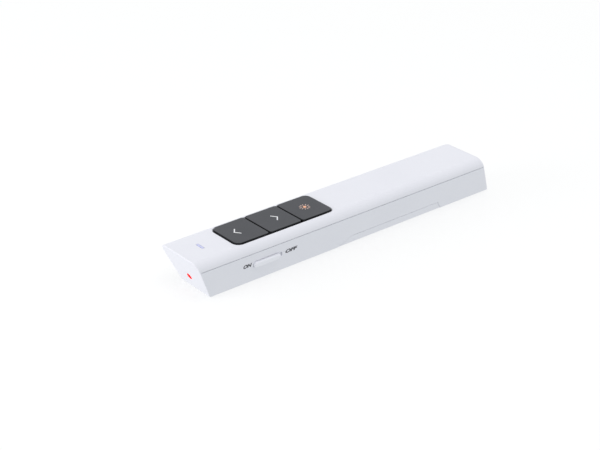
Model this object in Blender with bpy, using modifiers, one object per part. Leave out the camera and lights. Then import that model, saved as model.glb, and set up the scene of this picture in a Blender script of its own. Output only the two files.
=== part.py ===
"""A handheld laser pointer with presenter keys, piece by piece as it comes apart on a bench.

Metres, +Z up. The nose and the laser's exit look towards -Y, the power switch is in the +X side,
and the origin is under the middle of the case. Heights are stacked from the floor or down from the
ceiling, and the case is as long as its nose, keypad, battery bay and receiver bay together.
"""

import math

import bmesh
import bpy

# Gaps and allowances
FIT = 0.0003  # gap between neighbouring pieces
SNUG = 0.00015  # gap round an insert that is pressed in
SINK = 0.0005  # how far a joined shape runs into the one that carries it
OVERRUN = 0.002  # how far a cutter runs past what it cuts

# Case walls and edges
WALL = 0.0016
SIDE_LEAN = math.radians(11.2)
NOSE_LEAN = math.radians(24.56)
TAIL_LEAN = math.radians(24.0)
TOP_EDGE_RADIUS = 0.00285
FLOOR_EDGE_RADIUS = 0.0005
END_EDGE_RADIUS = 0.0004
SHARPEST_RADIUS = 0.0001
TOP_COVER_DEPTH = 0.0035
LIP_HEIGHT = 0.001
LIP_WALL = 0.0006
MITRE_SET = 0.0003  # how far behind the nose face its parting line lies on the sides
RIB = 0.0012
BOSS_RADIUS = 0.0017
SADDLE_HALF_WIDTH = 0.003
BULKHEAD_DROP = 0.0026

# Battery and its bay
CELL_DIAMETER = 0.0105
CELL_LENGTH = 0.0445
NUB_DIAMETER = 0.0038
NUB_HEIGHT = 0.0008
CELL_EDGE = 0.0004
CELL_HEADROOM = 0.0012
CONTACT_SHEET = 0.0004
CONTACT_WIDTH = 0.008
CONTACT_HEIGHT = 0.0068
CONTACT_TAB_WIDTH = 0.002
CONTACT_TAB_RISE = 0.0016
SPRING_LENGTH = 0.0027
SPRING_WIRE_RADIUS = 0.0003
SPRING_WIDE_RADIUS = 0.0036
SPRING_NARROW_RADIUS = 0.0018
SPRING_TURNS = 2.5

# Battery cover
COVER_WALL = 0.0014
COVER_RECESS = 0.0001
COVER_RISE = 0.003
COVER_FRONT_LAP = 0.0011
COVER_REAR_SET = 0.0004
COVER_FRONT_RUN = 0.0059
COVER_REAR_RUN = 0.0021
RAIL_RISE = 0.0012
RAIL_WALL = 0.0007
RAIL_END_SET = 0.002
NAIL_RECESS_RADIUS = 0.004
NAIL_RECESS_DEPTH = 0.0005
NAIL_RECESS_SET = 0.004

# Keys and the mat under them
KEY_NAMES = ("previous", "next", "laser")
KEYPAD_SETBACK = 0.0119
KEY_LENGTH = 0.0135
KEY_GROOVE = 0.00055
KEY_MARGIN = 0.00017
KEY_STAND = 0.0005
KEY_TRAVEL = 0.0005
KEY_OUTER_RADIUS = 0.0022
KEY_INNER_RADIUS = 0.0009
KEY_EDGE_RADIUS = 0.0004
KEY_FIT = 0.0004
KEY_BLOCK_INSET = 0.0018
WING_WIDTH = 0.0008
WING_THICKNESS = 0.0008
OPENING_OVERLAP = 0.00005
MAT_THICKNESS = 0.0008
MAT_FLANGE = 0.0005
MAT_SIDE_FLANGE = 0.0002

# Switches under the keys
PLUNGER_RADIUS = 0.0015
PLUNGER_MARGIN = 0.0001
PLUNGER_DEPTH = 0.0008
TACT_SIDE = 0.006
TACT_HEIGHT = 0.0028

# Circuit board and what it carries
BOARD_THICKNESS = 0.001
BOARD_SIDE_ROOM = 0.00057
BOARD_NOSE_MARGIN = 0.00065
BOARD_REAR_SCREW_SET = 0.0043
BOARD_TO_BULKHEAD = 0.0008
SIDE_PLACE_SHARE = 0.7
RADIO_SIDE = 0.004
RADIO_HEIGHT = 0.0009
MEMORY_WIDTH = 0.005
MEMORY_LENGTH = 0.004
MEMORY_HEIGHT = 0.0015
CRYSTAL_WIDTH = 0.0025
CRYSTAL_LENGTH = 0.0032
CRYSTAL_HEIGHT = 0.0008
CAPACITOR_WIDTH = 0.002
CAPACITOR_LENGTH = 0.0032
CAPACITOR_HEIGHT = 0.0016
INDUCTOR_SIDE = 0.0032
INDUCTOR_HEIGHT = 0.0018

# Indicator lamp and its light guide
INDICATOR_SETBACK = 0.0022
INDICATOR_WIDTH = 0.0036
INDICATOR_DEPTH = 0.0009
GUIDE_ARM_HEIGHT = 0.0012
GUIDE_COLLAR_LAP = 0.0008
GUIDE_COLLAR_HEIGHT = 0.0008
LED_WIDTH = 0.003
LED_LENGTH = 0.0015
LED_HEIGHT = 0.0013

# Power switch and its knob
SWITCH_SETBACK = 0.0176
SWITCH_TRAVEL = 0.001
SWITCH_ROOM = 0.0014
SWITCH_LENGTH = 0.009
SWITCH_DEPTH = 0.003
SWITCH_HEIGHT = 0.003
LEVER_WIDTH = 0.0012
LEVER_HEIGHT = 0.0008
LEVER_REACH = 0.0014
LEVER_ROOT = 0.001
LEVER_FIT = 0.00045
KNOB_LENGTH = 0.0106
KNOB_HEIGHT = 0.0021
KNOB_STAND = 0.0007
KNOB_RISE = 0.0024
KNOB_END_GAP = 0.00015
KNOB_SIDE_GAP = 0.00025
FLANGE_THICKNESS = 0.0009
FLANGE_LAP = 0.001
FLANGE_DROP = 0.0016

# Laser module
BARREL_RADIUS = 0.003
BARREL_LENGTH = 0.008
BARREL_WALL = 0.0007
BARREL_LIP = 0.0008
BARREL_MOUTH_RADIUS = 0.0016
CRADLE_RISE = 0.0008
CRADLE_WALL = 0.0007
CRADLE_SET = 0.0012
EXIT_RADIUS = 0.0011
WINDOW_THICKNESS = 0.0006
LENS_THICKNESS = 0.0014
LENS_BULGE = 0.0004
LENS_SPRING_LENGTH = 0.0018
LENS_SPRING_WIRE_RADIUS = 0.00018
LENS_SPRING_TURNS = 2.0
DIODE_FLANGE = 0.0006
PIN_RADIUS = 0.00022
PIN_LENGTH = 0.0004
PIN_SPREAD = 0.001
LASER_BOARD_WIDTH = 0.0044
LASER_BOARD_LENGTH = 0.0042
LASER_BOARD_THICKNESS = 0.0008
NOTCH_END_ROOM = 0.0006

# Wires
LASER_WIRE_RADIUS = 0.0004
LASER_WIRE_SET = 0.001
LASER_WIRE_ARCH = 0.0018
LASER_WIRE_SHARES = (0.4, 0.7)
BATTERY_WIRE_RADIUS = 0.0005
BATTERY_WIRE_PAD_SET = 0.0016
BATTERY_WIRE_SIDE_ROOM = 0.0013

# Screws
SCREW_SHANK_RADIUS = 0.0008
SCREW_HEAD_RADIUS = 0.0016
SCREW_HEAD_HEIGHT = 0.0007
SCREW_SEAT_WALL = 0.0004
SCREW_HEAD_INSET = 0.0002
SCREW_MAT_ROOM = 0.0036
BOARD_SCREW_LENGTH = 0.0042
PILOT_END = 0.0007
HOUSING_SCREW_REACH = 0.004

# USB receiver and its bay
PLUG_WIDTH = 0.012
PLUG_HEIGHT = 0.0045
PLUG_LENGTH = 0.0118
PLUG_SHEET = 0.0004
PLUG_ROOT = 0.001
PLUG_TIP_ROOM = 0.0025
TONGUE_HEIGHT = 0.0018
TONGUE_SET = 0.0006
CAP_SIDE_WALL = 0.0005
CAP_FACE_WALL = 0.00095
CAP_DEPTH = 0.0096
CAP_LIFT = 0.0016
CAP_STAND = 0.0006
CAP_EDGE = 0.0004
GARAGE_WALL = 0.00115
GUIDE_LENGTH = 0.0085
RECEIVER_BOARD_THICKNESS = 0.0008
RECEIVER_BOARD_LENGTH = 0.003

# Counts of steps on round shapes
EDGE_STEPS = 8
SMALL_EDGE_STEPS = 2
END_STEPS = 2
CORNER_STEPS = 5
ROUND_SIDES = 24
COIL_POINTS_A_TURN = 14
WIRE_STEPS = 12

# Heights, stacked down from the ceiling over the board and up from the floor under the cell
BAY_STACK = COVER_RECESS + COVER_WALL + FIT + CELL_DIAMETER + CELL_HEADROOM + WALL
KEY_STACK = WALL + FIT + MAT_THICKNESS + FIT + WING_THICKNESS + FIT + PLUNGER_MARGIN + KEY_TRAVEL
BOARD_STACK = TACT_HEIGHT + FIT + BOARD_THICKNESS + FIT + SWITCH_HEIGHT + SWITCH_ROOM + WALL
HEIGHT = max(BAY_STACK, KEY_STACK + BOARD_STACK)
SEAM = HEIGHT - TOP_COVER_DEPTH
CEILING = HEIGHT - WALL
MAT_TOP = CEILING - FIT
MAT_BOTTOM = MAT_TOP - MAT_THICKNESS
CAP_BOTTOM = MAT_TOP + FIT + KEY_TRAVEL
KEY_TOP = HEIGHT + KEY_STAND
WING_TOP = MAT_BOTTOM - FIT
KEY_BOTTOM = WING_TOP - WING_THICKNESS
PLUNGER_TOP = KEY_BOTTOM - FIT
TACT_TOP = PLUNGER_TOP - KEY_TRAVEL - PLUNGER_MARGIN
TACT_BOTTOM = TACT_TOP - TACT_HEIGHT
BOARD_TOP = TACT_BOTTOM - FIT
BOARD_BOTTOM = BOARD_TOP - BOARD_THICKNESS
SWITCH_TOP = BOARD_BOTTOM - FIT
SWITCH_BOTTOM = SWITCH_TOP - SWITCH_HEIGHT
LEVER_Z = (SWITCH_TOP + SWITCH_BOTTOM) / 2
KNOB_Z = LEVER_Z + KNOB_RISE
LASER_Z = WALL + CRADLE_RISE + BARREL_RADIUS
BARREL_TOP = LASER_Z + BARREL_RADIUS
CELL_Z = COVER_RECESS + COVER_WALL + FIT + CELL_DIAMETER / 2
LED_BOTTOM = BOARD_TOP + FIT
LED_TOP = LED_BOTTOM + LED_HEIGHT
GUIDE_ARM_BOTTOM = max(LED_TOP, BARREL_TOP) + FIT
CAP_LOW = WALL + CAP_LIFT
PLUG_INSIDE_HEIGHT = PLUG_HEIGHT - 2 * PLUG_SHEET
CAP_HEIGHT = PLUG_HEIGHT + 2 * CAP_FACE_WALL
CAP_HIGH = CAP_LOW + CAP_HEIGHT
PLUG_Z = (CAP_LOW + CAP_HIGH) / 2

# Widths
CAP_WIDTH = PLUG_WIDTH + 2 * CAP_SIDE_WALL
FLOOR_WIDTH = CAP_WIDTH + 2 * (FIT + GARAGE_WALL)


def half_width(height, inset=0.0):
    """Half the case's width at a height on its leaning sides, drawn in by an inset."""
    return FLOOR_WIDTH / 2 + math.tan(SIDE_LEAN) * height - inset / math.cos(SIDE_LEAN)


FLAT_HALF_WIDTH = half_width(HEIGHT - TOP_EDGE_RADIUS, TOP_EDGE_RADIUS)
KEY_HALF_WIDTH = FLAT_HALF_WIDTH - KEY_MARGIN
BLOCK_HALF_WIDTH = KEY_HALF_WIDTH - KEY_BLOCK_INSET
MAT_HALF_WIDTH = KEY_HALF_WIDTH + KEY_FIT + MAT_SIDE_FLANGE
BOARD_HALF_WIDTH = half_width(BOARD_BOTTOM, WALL) - BOARD_SIDE_ROOM
SIDE_PLACE = BOARD_HALF_WIDTH * SIDE_PLACE_SHARE
NOTCH_HALF_WIDTH = BARREL_RADIUS + FIT
BOSS_X = (NOTCH_HALF_WIDTH + BOARD_HALF_WIDTH) / 2
SWITCH_FACE_X = half_width(SWITCH_BOTTOM, WALL + FIT + FLANGE_THICKNESS) - FIT
SWITCH_NOTCH_X = half_width(BOARD_BOTTOM, WALL + FIT + FLANGE_THICKNESS) - FIT
LEVER_TIP_X = SWITCH_FACE_X + LEVER_REACH
RED_WIRE_X = -CONTACT_WIDTH / 4

# Lengths, from the front edge of the floor back to its rear edge
KEYPAD_LENGTH = len(KEY_NAMES) * KEY_LENGTH + (len(KEY_NAMES) - 1) * KEY_GROOVE
BAY_LENGTH = 5 * FIT + 2 * CONTACT_SHEET + CELL_LENGTH + SPRING_LENGTH
FRONT_LENGTH = KEYPAD_SETBACK + KEYPAD_LENGTH + KEY_FIT + MAT_FLANGE + BOARD_TO_BULKHEAD + RIB
TAIL_LENGTH = RIB + PLUG_TIP_ROOM + PLUG_LENGTH + CAP_DEPTH
FLOOR_LENGTH = FRONT_LENGTH + BAY_LENGTH + TAIL_LENGTH
NOSE_OVERHANG = HEIGHT * math.tan(NOSE_LEAN)
FLOOR_FRONT = (NOSE_OVERHANG - FLOOR_LENGTH) / 2
FLOOR_REAR = FLOOR_FRONT + FLOOR_LENGTH
KEYPAD_FRONT = FLOOR_FRONT + KEYPAD_SETBACK
KEYPAD_REAR = KEYPAD_FRONT + KEYPAD_LENGTH
MAT_FRONT = KEYPAD_FRONT - KEY_FIT - MAT_FLANGE
MAT_REAR = KEYPAD_REAR + KEY_FIT + MAT_FLANGE
INDICATOR_Y = FLOOR_FRONT + INDICATOR_SETBACK
BOARD_FRONT = INDICATOR_Y - LED_LENGTH / 2 - BOARD_NOSE_MARGIN
BOARD_REAR = MAT_REAR
BOSS_Y = MAT_FRONT - SCREW_MAT_ROOM
BOARD_SCREW_Y = BOARD_REAR - BOARD_REAR_SCREW_SET
BAY_FRONT = FLOOR_FRONT + FRONT_LENGTH
BAY_REAR = BAY_FRONT + BAY_LENGTH
POSITIVE_CONTACT_Y = BAY_FRONT + FIT
CELL_FRONT = POSITIVE_CONTACT_Y + CONTACT_SHEET + FIT
SPRING_FRONT = CELL_FRONT + CELL_LENGTH + FIT
NEGATIVE_CONTACT_Y = SPRING_FRONT + SPRING_LENGTH + FIT
COVER_FRONT = BAY_FRONT - COVER_FRONT_LAP
COVER_REAR = BAY_REAR - COVER_REAR_SET
PLUG_TIP = BAY_REAR + RIB + PLUG_TIP_ROOM
CAP_FRONT = PLUG_TIP + PLUG_LENGTH
SLOT_LENGTH = KNOB_LENGTH + SWITCH_TRAVEL + 2 * KNOB_END_GAP
SLOT_FRONT = FLOOR_FRONT + SWITCH_SETBACK
SLOT_HEIGHT = KNOB_HEIGHT + 2 * KNOB_SIDE_GAP
SWITCH_Y = SLOT_FRONT + SLOT_LENGTH / 2
KNOB_Y = SWITCH_Y - SWITCH_TRAVEL / 2


def nose_y(height, depth=0.0):
    """Where the slanted nose face lies at a height, or a plane that lies deeper by a depth."""
    return FLOOR_FRONT - math.tan(NOSE_LEAN) * height + depth / math.cos(NOSE_LEAN)


def tail_y(height, depth=0.0):
    """Where the slanted tail face lies at a height, or a plane that lies deeper by a depth."""
    return FLOOR_REAR - math.tan(TAIL_LEAN) * height - depth / math.cos(TAIL_LEAN)


BARREL_FRONT = nose_y(LASER_Z - BARREL_RADIUS, WALL) + FIT
BARREL_REAR = BARREL_FRONT + BARREL_LENGTH
BARREL_BORE_RADIUS = BARREL_RADIUS - BARREL_WALL
WINDOW_FRONT = BARREL_FRONT + BARREL_LIP + FIT
LENS_FRONT = WINDOW_FRONT + WINDOW_THICKNESS + FIT
LENS_SPRING_FRONT = LENS_FRONT + LENS_THICKNESS + FIT
DIODE_FRONT = LENS_SPRING_FRONT + LENS_SPRING_LENGTH + FIT
DIODE_SEAT = BARREL_REAR + FIT
LASER_BOARD_FRONT = DIODE_SEAT + DIODE_FLANGE + PIN_LENGTH + FIT
LASER_BOARD_REAR = LASER_BOARD_FRONT + LASER_BOARD_LENGTH
NOTCH_END = LASER_BOARD_REAR + NOTCH_END_ROOM
CRADLE_PLACES = (BARREL_FRONT + CRADLE_SET, BARREL_REAR - CRADLE_SET - RIB)

PARTS = "laser_pointer"
CUTTERS = "cutters"


def key_front(index):
    """The nose end of one of the keys, counted from the nose."""
    return KEYPAD_FRONT + index * (KEY_LENGTH + KEY_GROOVE)


def key_centre(index):
    return key_front(index) + KEY_LENGTH / 2


def between_keys(index):
    """The middle of the groove behind a key."""
    return (key_centre(index) + key_centre(index + 1)) / 2


def clear_scene():
    for thing in list(bpy.data.objects):
        bpy.data.objects.remove(thing, do_unlink=True)
    for name in (PARTS, CUTTERS):
        group = bpy.data.collections.new(name)
        bpy.context.scene.collection.children.link(group)


def linear(channel):
    """One sRGB channel of 0 to 255 as linear light."""
    share = channel / 255
    return share / 12.92 if share <= 0.04045 else ((share + 0.055) / 1.055) ** 2.4


def principled(name, colour, roughness, metallic=0.0, alpha=1.0):
    """A plain material from an sRGB hex colour, made once."""
    material = bpy.data.materials.get(name)
    if material:
        return material
    material = bpy.data.materials.new(name)
    material.use_nodes = True
    shader = material.node_tree.nodes["Principled BSDF"]
    channels = [linear(int(colour[start:start + 2], 16)) for start in (0, 2, 4)]
    shader.inputs["Base Color"].default_value = (*channels, 1)
    shader.inputs["Roughness"].default_value = roughness
    shader.inputs["Metallic"].default_value = metallic
    shader.inputs["Alpha"].default_value = alpha
    return material


def white_abs():
    return principled("white_abs", "EBEBF3", 0.42)


def grey_key_plastic():
    return principled("grey_key_plastic", "5C5D61", 0.6)


def dark_silicone():
    return principled("dark_silicone", "2A2B2F", 0.75)


def clear_acrylic():
    return principled("clear_acrylic", "C9CCEE", 0.15, alpha=0.8)


def optical_glass():
    return principled("optical_glass", "DDE6EE", 0.05, alpha=0.4)


def turned_brass():
    return principled("turned_brass", "C8A04A", 0.3, metallic=1.0)


def tan_ceramic():
    return principled("tan_ceramic", "AE9170", 0.6)


def nickel_plate():
    return principled("nickel_plate", "BFC1C2", 0.28, metallic=1.0)


def zinc_steel():
    return principled("zinc_steel", "A9ABB0", 0.35, metallic=1.0)


def green_laminate():
    return principled("green_laminate", "1E5A38", 0.45)


def black_moulding():
    return principled("black_moulding", "1B1B1D", 0.5)


def cell_sleeve():
    return principled("cell_sleeve", "2F4B8C", 0.35)


def lamp_resin():
    return principled("lamp_resin", "DFE6FF", 0.25)


def red_insulation():
    return principled("red_insulation", "B8201C", 0.5)


def black_insulation():
    return principled("black_insulation", "18181A", 0.5)


def keep(piece, material):
    """Moves a finished piece to the parts and gives it its material."""
    bpy.data.collections[PARTS].objects.link(piece)
    piece.data.materials.clear()
    piece.data.materials.append(material)
    return piece


def set_aside(shape):
    """Moves a shape that cuts or joins another to the cutters."""
    if shape.name not in bpy.data.collections[CUTTERS].objects:
        bpy.data.collections[CUTTERS].objects.link(shape)
    shape.hide_render = True
    shape.display_type = "WIRE"


def combine(piece, operation, shapes):
    for shape in shapes:
        set_aside(shape)
        change = piece.modifiers.new(f"{operation.lower()} {shape.name}", "BOOLEAN")
        change.operation = operation
        change.solver = "EXACT"
        change.object = shape
    return piece


def cut(piece, *shapes):
    return combine(piece, "DIFFERENCE", shapes)


def join(piece, *shapes):
    return combine(piece, "UNION", shapes)


def new_object(name, bm):
    """An object from a bmesh, with its faces pointing out."""
    bmesh.ops.recalc_face_normals(bm, faces=bm.faces)
    mesh = bpy.data.meshes.new(name)
    bm.to_mesh(mesh)
    bm.free()
    return bpy.data.objects.new(name, mesh)


def smooth(piece):
    """Smooth shading on a round piece that keeps its sharp edges."""
    piece.data.shade_smooth()
    piece.data.set_sharp_from_angle(angle=math.radians(35))
    return piece


def block(name, across, along, upright):
    """A box between two values on each axis."""
    low, high = zip(across, along, upright)
    bm = bmesh.new()
    bmesh.ops.create_cube(bm, size=1)
    bmesh.ops.scale(bm, verts=bm.verts, vec=[b - a for a, b in zip(low, high)])
    box = new_object(name, bm)
    box.location = [(a + b) / 2 for a, b in zip(low, high)]
    return box


def centred(middle, size):
    """The two ends of a size that is centred on a place."""
    return middle - size / 2, middle + size / 2


def post(name, x, y, radius, low, high):
    """An upright cylinder."""
    bm = bmesh.new()
    bmesh.ops.create_cone(
        bm, cap_ends=True, segments=ROUND_SIDES, radius1=radius, radius2=radius, depth=high - low
    )
    cylinder = new_object(name, bm)
    cylinder.location = (x, y, (low + high) / 2)
    return cylinder


def rod(name, x, z, radius, front, rear):
    """A cylinder that lies along the case."""
    cylinder = post(name, x, (front + rear) / 2, radius, 0, rear - front)
    cylinder.location.z = z
    cylinder.rotation_euler.x = math.pi / 2
    return cylinder


def turned(name, profile, closed=False):
    """A turned shape about Z: the profile's (radius, height) points run from the top down the outside."""
    mesh = bpy.data.meshes.new(name)
    count = len(profile)
    edges = [(i, (i + 1) % count) for i in range(count if closed else count - 1)]
    mesh.from_pydata([(radius, 0, height) for radius, height in profile], edges, [])
    shape = bpy.data.objects.new(name, mesh)
    spin = shape.modifiers.new("turn", "SCREW")
    spin.steps = ROUND_SIDES
    spin.render_steps = ROUND_SIDES
    spin.use_merge_vertices = True
    spin.merge_threshold = SHARPEST_RADIUS / 10
    spin.use_smooth_shade = True
    return shape


def lie_along(shape, x, front, z):
    """Lays a turned shape along the case, its profile's zero at the front and its top to the nose."""
    shape.location = (x, front, z)
    shape.rotation_euler.x = math.pi / 2
    return shape


def loft(name, rings):
    """A closed solid through rings of points that match one to one."""
    bm = bmesh.new()
    rows = [[bm.verts.new(point) for point in ring] for ring in rings]
    count = len(rings[0])
    for near, far in zip(rows, rows[1:]):
        for i in range(count):
            k = (i + 1) % count
            bm.faces.new((near[i], near[k], far[k], far[i]))
    bm.faces.new(rows[0])
    bm.faces.new(rows[-1])
    return smooth(new_object(name, bm))


def flat_shape(name, points, thickness):
    """A flat outline in X and Y, as a solid of this thickness centred on Z."""
    curve = bpy.data.curves.new(name, "CURVE")
    curve.dimensions = "2D"
    curve.fill_mode = "BOTH"
    curve.extrude = thickness / 2
    spline = curve.splines.new("POLY")
    spline.points.add(len(points) - 1)
    for place, (x, y) in zip(spline.points, points):
        place.co = (x, y, 0, 1)
    spline.use_cyclic_u = True
    guide = bpy.data.objects.new(name, curve)
    bpy.context.scene.collection.objects.link(guide)
    graph = bpy.context.evaluated_depsgraph_get()
    mesh = bpy.data.meshes.new_from_object(guide.evaluated_get(graph))
    bpy.data.objects.remove(guide, do_unlink=True)
    bm = bmesh.new()
    bm.from_mesh(mesh)
    bmesh.ops.remove_doubles(bm, verts=bm.verts, dist=SHARPEST_RADIUS / 10)
    bpy.data.meshes.remove(mesh)
    return new_object(name, bm)


def tube(name, points, radius):
    """A wire through a list of points."""
    curve = bpy.data.curves.new(name, "CURVE")
    curve.dimensions = "3D"
    curve.bevel_depth = radius
    curve.bevel_resolution = 2
    curve.use_fill_caps = True
    spline = curve.splines.new("POLY")
    spline.points.add(len(points) - 1)
    for place, point in zip(spline.points, points):
        place.co = (*point, 1)
    return bpy.data.objects.new(name, curve)


def eased_route(start, end):
    """Points from start to end, even along Y, that leave and arrive level like a cosine wave."""
    points = []
    for step in range(WIRE_STEPS + 1):
        along = step / WIRE_STEPS
        ease = (1 - math.cos(math.pi * along)) / 2
        shares = (ease, along, ease)
        points.append([a + (b - a) * share for a, b, share in zip(start, end, shares)])
    return points


def arched_route(start, end, rise):
    """Points from start up and over to end, in a half wave across the case."""
    points = []
    for step in range(WIRE_STEPS + 1):
        along = step / WIRE_STEPS
        turn = math.pi * along
        x = start[0] + (end[0] - start[0]) * (1 - math.cos(turn)) / 2
        z = start[2] + (end[2] - start[2]) * along + rise * math.sin(turn)
        points.append((x, start[1], z))
    return points


def coil(name, radii, turns, length, wire_radius):
    """An unbroken coil about Y from the origin back, from its front radius to its rear one."""
    count = round(turns * COIL_POINTS_A_TURN)
    points = []
    for step in range(count + 1):
        share = step / count
        angle = 2 * math.pi * turns * share
        radius = radii[0] + (radii[1] - radii[0]) * share
        y = wire_radius + (length - 2 * wire_radius) * share
        points.append((radius * math.cos(angle), y, radius * math.sin(angle)))
    return tube(name, points, wire_radius)


def arc(centre, radius, start, end, steps):
    """Points on an arc, both ends included."""
    angles = [start + (end - start) * step / steps for step in range(steps + 1)]
    return [(centre[0] + radius * math.cos(a), centre[1] + radius * math.sin(a)) for a in angles]


def case_section(inset, floor=None):
    """The case's outline in X and Z, drawn in by an inset; its floor may lie at another height."""
    low = inset if floor is None else floor
    foot = max(FLOOR_EDGE_RADIUS - low, SHARPEST_RADIUS)
    shoulder = max(TOP_EDGE_RADIUS - inset, SHARPEST_RADIUS)
    foot_centre = (half_width(low + foot, inset + foot), low + foot)
    shoulder_z = HEIGHT - inset - shoulder
    shoulder_centre = (half_width(shoulder_z, inset + shoulder), shoulder_z)
    side = arc(foot_centre, foot, -math.pi / 2, -SIDE_LEAN, SMALL_EDGE_STEPS)
    side += arc(shoulder_centre, shoulder, -SIDE_LEAN, math.pi / 2, EDGE_STEPS)
    return side + [(-x, z) for x, z in reversed(side)]


def case_ring(section, plane, depth):
    """The section laid on the slanted nose or tail plane at a depth behind it."""
    return [(x, plane(z, depth), z) for x, z in section]


def case_form(name, inset, nose_depth=None, tail_depth=None, floor=None):
    """The case's outer form drawn in by an inset, with plain ends."""
    section = case_section(inset, floor)
    nose = case_ring(section, nose_y, inset if nose_depth is None else nose_depth)
    tail = case_ring(section, tail_y, inset if tail_depth is None else tail_depth)
    return loft(name, [nose, tail])


def outer_form(name, inset=0.0):
    """The case's outer form with its end edges rounded."""
    nose, tail = [], []
    for step in range(END_STEPS + 1):
        angle = math.pi / 2 * step / END_STEPS
        drawn_in = inset + END_EDGE_RADIUS * (1 - math.sin(angle))
        depth = inset + END_EDGE_RADIUS * (1 - math.cos(angle))
        nose.append(case_ring(case_section(drawn_in), nose_y, depth))
        tail.append(case_ring(case_section(drawn_in), tail_y, depth))
    return loft(name, nose + tail[::-1])


def nose_mitre(name, clearance):
    """All that lies before the mitre between the nose face and the sides and floor behind it."""
    before = case_ring(case_section(-OVERRUN), nose_y, -2 * OVERRUN)
    edge = case_ring(case_section(-OVERRUN), nose_y, clearance - OVERRUN)
    inner = WALL + SINK
    back = case_ring(case_section(inner), nose_y, clearance + inner)
    return loft(name, [before, edge, back])


def above(name, height):
    """A cutter for all of the case over a height."""
    wide = (-half_width(HEIGHT) - OVERRUN, half_width(HEIGHT) + OVERRUN)
    along = (nose_y(HEIGHT) - OVERRUN, FLOOR_REAR + OVERRUN)
    return block(name, wide, along, (height, HEIGHT + OVERRUN))


def below(name, height):
    """A cutter for all of the case under a height."""
    wide = (-half_width(HEIGHT) - OVERRUN, half_width(HEIGHT) + OVERRUN)
    along = (nose_y(HEIGHT) - 2 * OVERRUN, FLOOR_REAR + OVERRUN)
    return block(name, wide, along, (-OVERRUN, height))


def across(name, front, thickness, low, high):
    """A slab right across the case."""
    wide = (-half_width(HEIGHT) - OVERRUN, half_width(HEIGHT) + OVERRUN)
    return block(name, wide, (front, front + thickness), (low, high))


def key_outline(index, grow=0.0, opening=False):
    """A key's outline, wider corners at the keypad's ends, grown by an amount or to its opening."""
    last = len(KEY_NAMES) - 1
    front, rear = key_front(index), key_front(index) + KEY_LENGTH
    groove = KEY_GROOVE / 2 + OPENING_OVERLAP
    if opening:
        grow = KEY_FIT
    front -= groove if opening and index > 0 else grow
    rear += groove if opening and index < last else grow
    half = KEY_HALF_WIDTH + grow
    front_radius = (KEY_OUTER_RADIUS if index == 0 else KEY_INNER_RADIUS) + grow
    rear_radius = (KEY_OUTER_RADIUS if index == last else KEY_INNER_RADIUS) + grow
    quarter = math.pi / 2
    corners = (
        ((half - front_radius, front + front_radius), front_radius, -quarter),
        ((half - rear_radius, rear - rear_radius), rear_radius, 0),
        ((rear_radius - half, rear - rear_radius), rear_radius, quarter),
        ((front_radius - half, front + front_radius), front_radius, 2 * quarter),
    )
    return [p for c, r, a in corners for p in arc(c, r, a, a + quarter, CORNER_STEPS)]


def key_opening(index):
    outline = key_outline(index, opening=True)
    shape = flat_shape(f"opening_{KEY_NAMES[index]}", outline, WALL + 2 * OVERRUN)
    shape.location.z = HEIGHT - WALL / 2
    return shape


def screw_hole(name, x, y, low, high):
    return post(name, x, y, SCREW_SHANK_RADIUS + FIT, low, high)


def cover_side_view(gap):
    """The battery cover seen from the side, as (y, z) points, grown by a gap at its ends and top."""
    front_rise = math.atan2(COVER_RISE, COVER_FRONT_RUN)
    rear_rise = math.atan2(COVER_RISE, COVER_REAR_RUN)
    high = COVER_RISE + gap
    front_low = COVER_FRONT - gap / math.sin(front_rise)
    rear_low = COVER_REAR + gap / math.sin(rear_rise)
    drop = -OVERRUN
    return [
        (front_low + drop / math.tan(front_rise), drop),
        (rear_low - drop / math.tan(rear_rise), drop),
        (rear_low - high / math.tan(rear_rise), high),
        (front_low + high / math.tan(front_rise), high),
    ]


def cover_space(name, gap):
    """The battery cover's side view carried right across the case."""
    shape = flat_shape(name, cover_side_view(gap), 2 * half_width(HEIGHT) + 2 * OVERRUN)
    shape.rotation_euler = (math.pi / 2, 0, math.pi / 2)
    return shape


def slot_shape(name, length, height, low, high):
    """A bar with round ends in the leaning side wall, from one depth to another along its normal."""
    radius = height / 2
    straight = length / 2 - radius
    outline = arc((straight, 0), radius, -math.pi / 2, math.pi / 2, CORNER_STEPS)
    outline += arc((-straight, 0), radius, math.pi / 2, 3 * math.pi / 2, CORNER_STEPS)
    shape = flat_shape(name, outline, high - low)
    for vertex in shape.data.vertices:
        along, up, out = vertex.co
        vertex.co = (out + (low + high) / 2, along, up)
    return shape


def set_in_side(shape, y):
    """Places a shape made in the side wall's own frame, where X is the wall's normal."""
    shape.location = (half_width(KNOB_Z), y, KNOB_Z)
    shape.rotation_euler.y = SIDE_LEAN
    return shape


def top_cover():
    """Top, rounded edges and nose face in one moulding."""
    cover = outer_form("top_cover")
    hollow = case_form("cover_hollow", WALL)
    rebate = case_form("cover_rebate", WALL - LIP_WALL - FIT, nose_depth=WALL + SINK)
    cut(rebate, above("rebate_top", SEAM + LIP_HEIGHT + FIT))
    housing_space = cut(below("housing_space", SEAM + FIT), nose_mitre("nose_panel", MITRE_SET))
    exit_hole = rod("exit_hole", 0, LASER_Z, EXIT_RADIUS, nose_y(HEIGHT) - OVERRUN, BARREL_FRONT + OVERRUN)
    slot = block(
        "indicator_slot",
        centred(0, INDICATOR_WIDTH + 2 * SNUG),
        centred(INDICATOR_Y, INDICATOR_DEPTH + 2 * SNUG),
        (CEILING - OVERRUN, HEIGHT + OVERRUN),
    )
    cut(cover, hollow, rebate, housing_space, exit_hole, slot)
    cut(cover, *[key_opening(index) for index in range(len(KEY_NAMES))])
    join(cover, *cover_bosses(), *cover_ribs())
    cut(cover, *[
        screw_hole(f"cover_pilot_{side}", side * BOSS_X, BOSS_Y, BOARD_TOP - OVERRUN, CEILING - PILOT_END)
        for side in (-1, 1)
    ])
    return keep(cover, white_abs())


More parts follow.
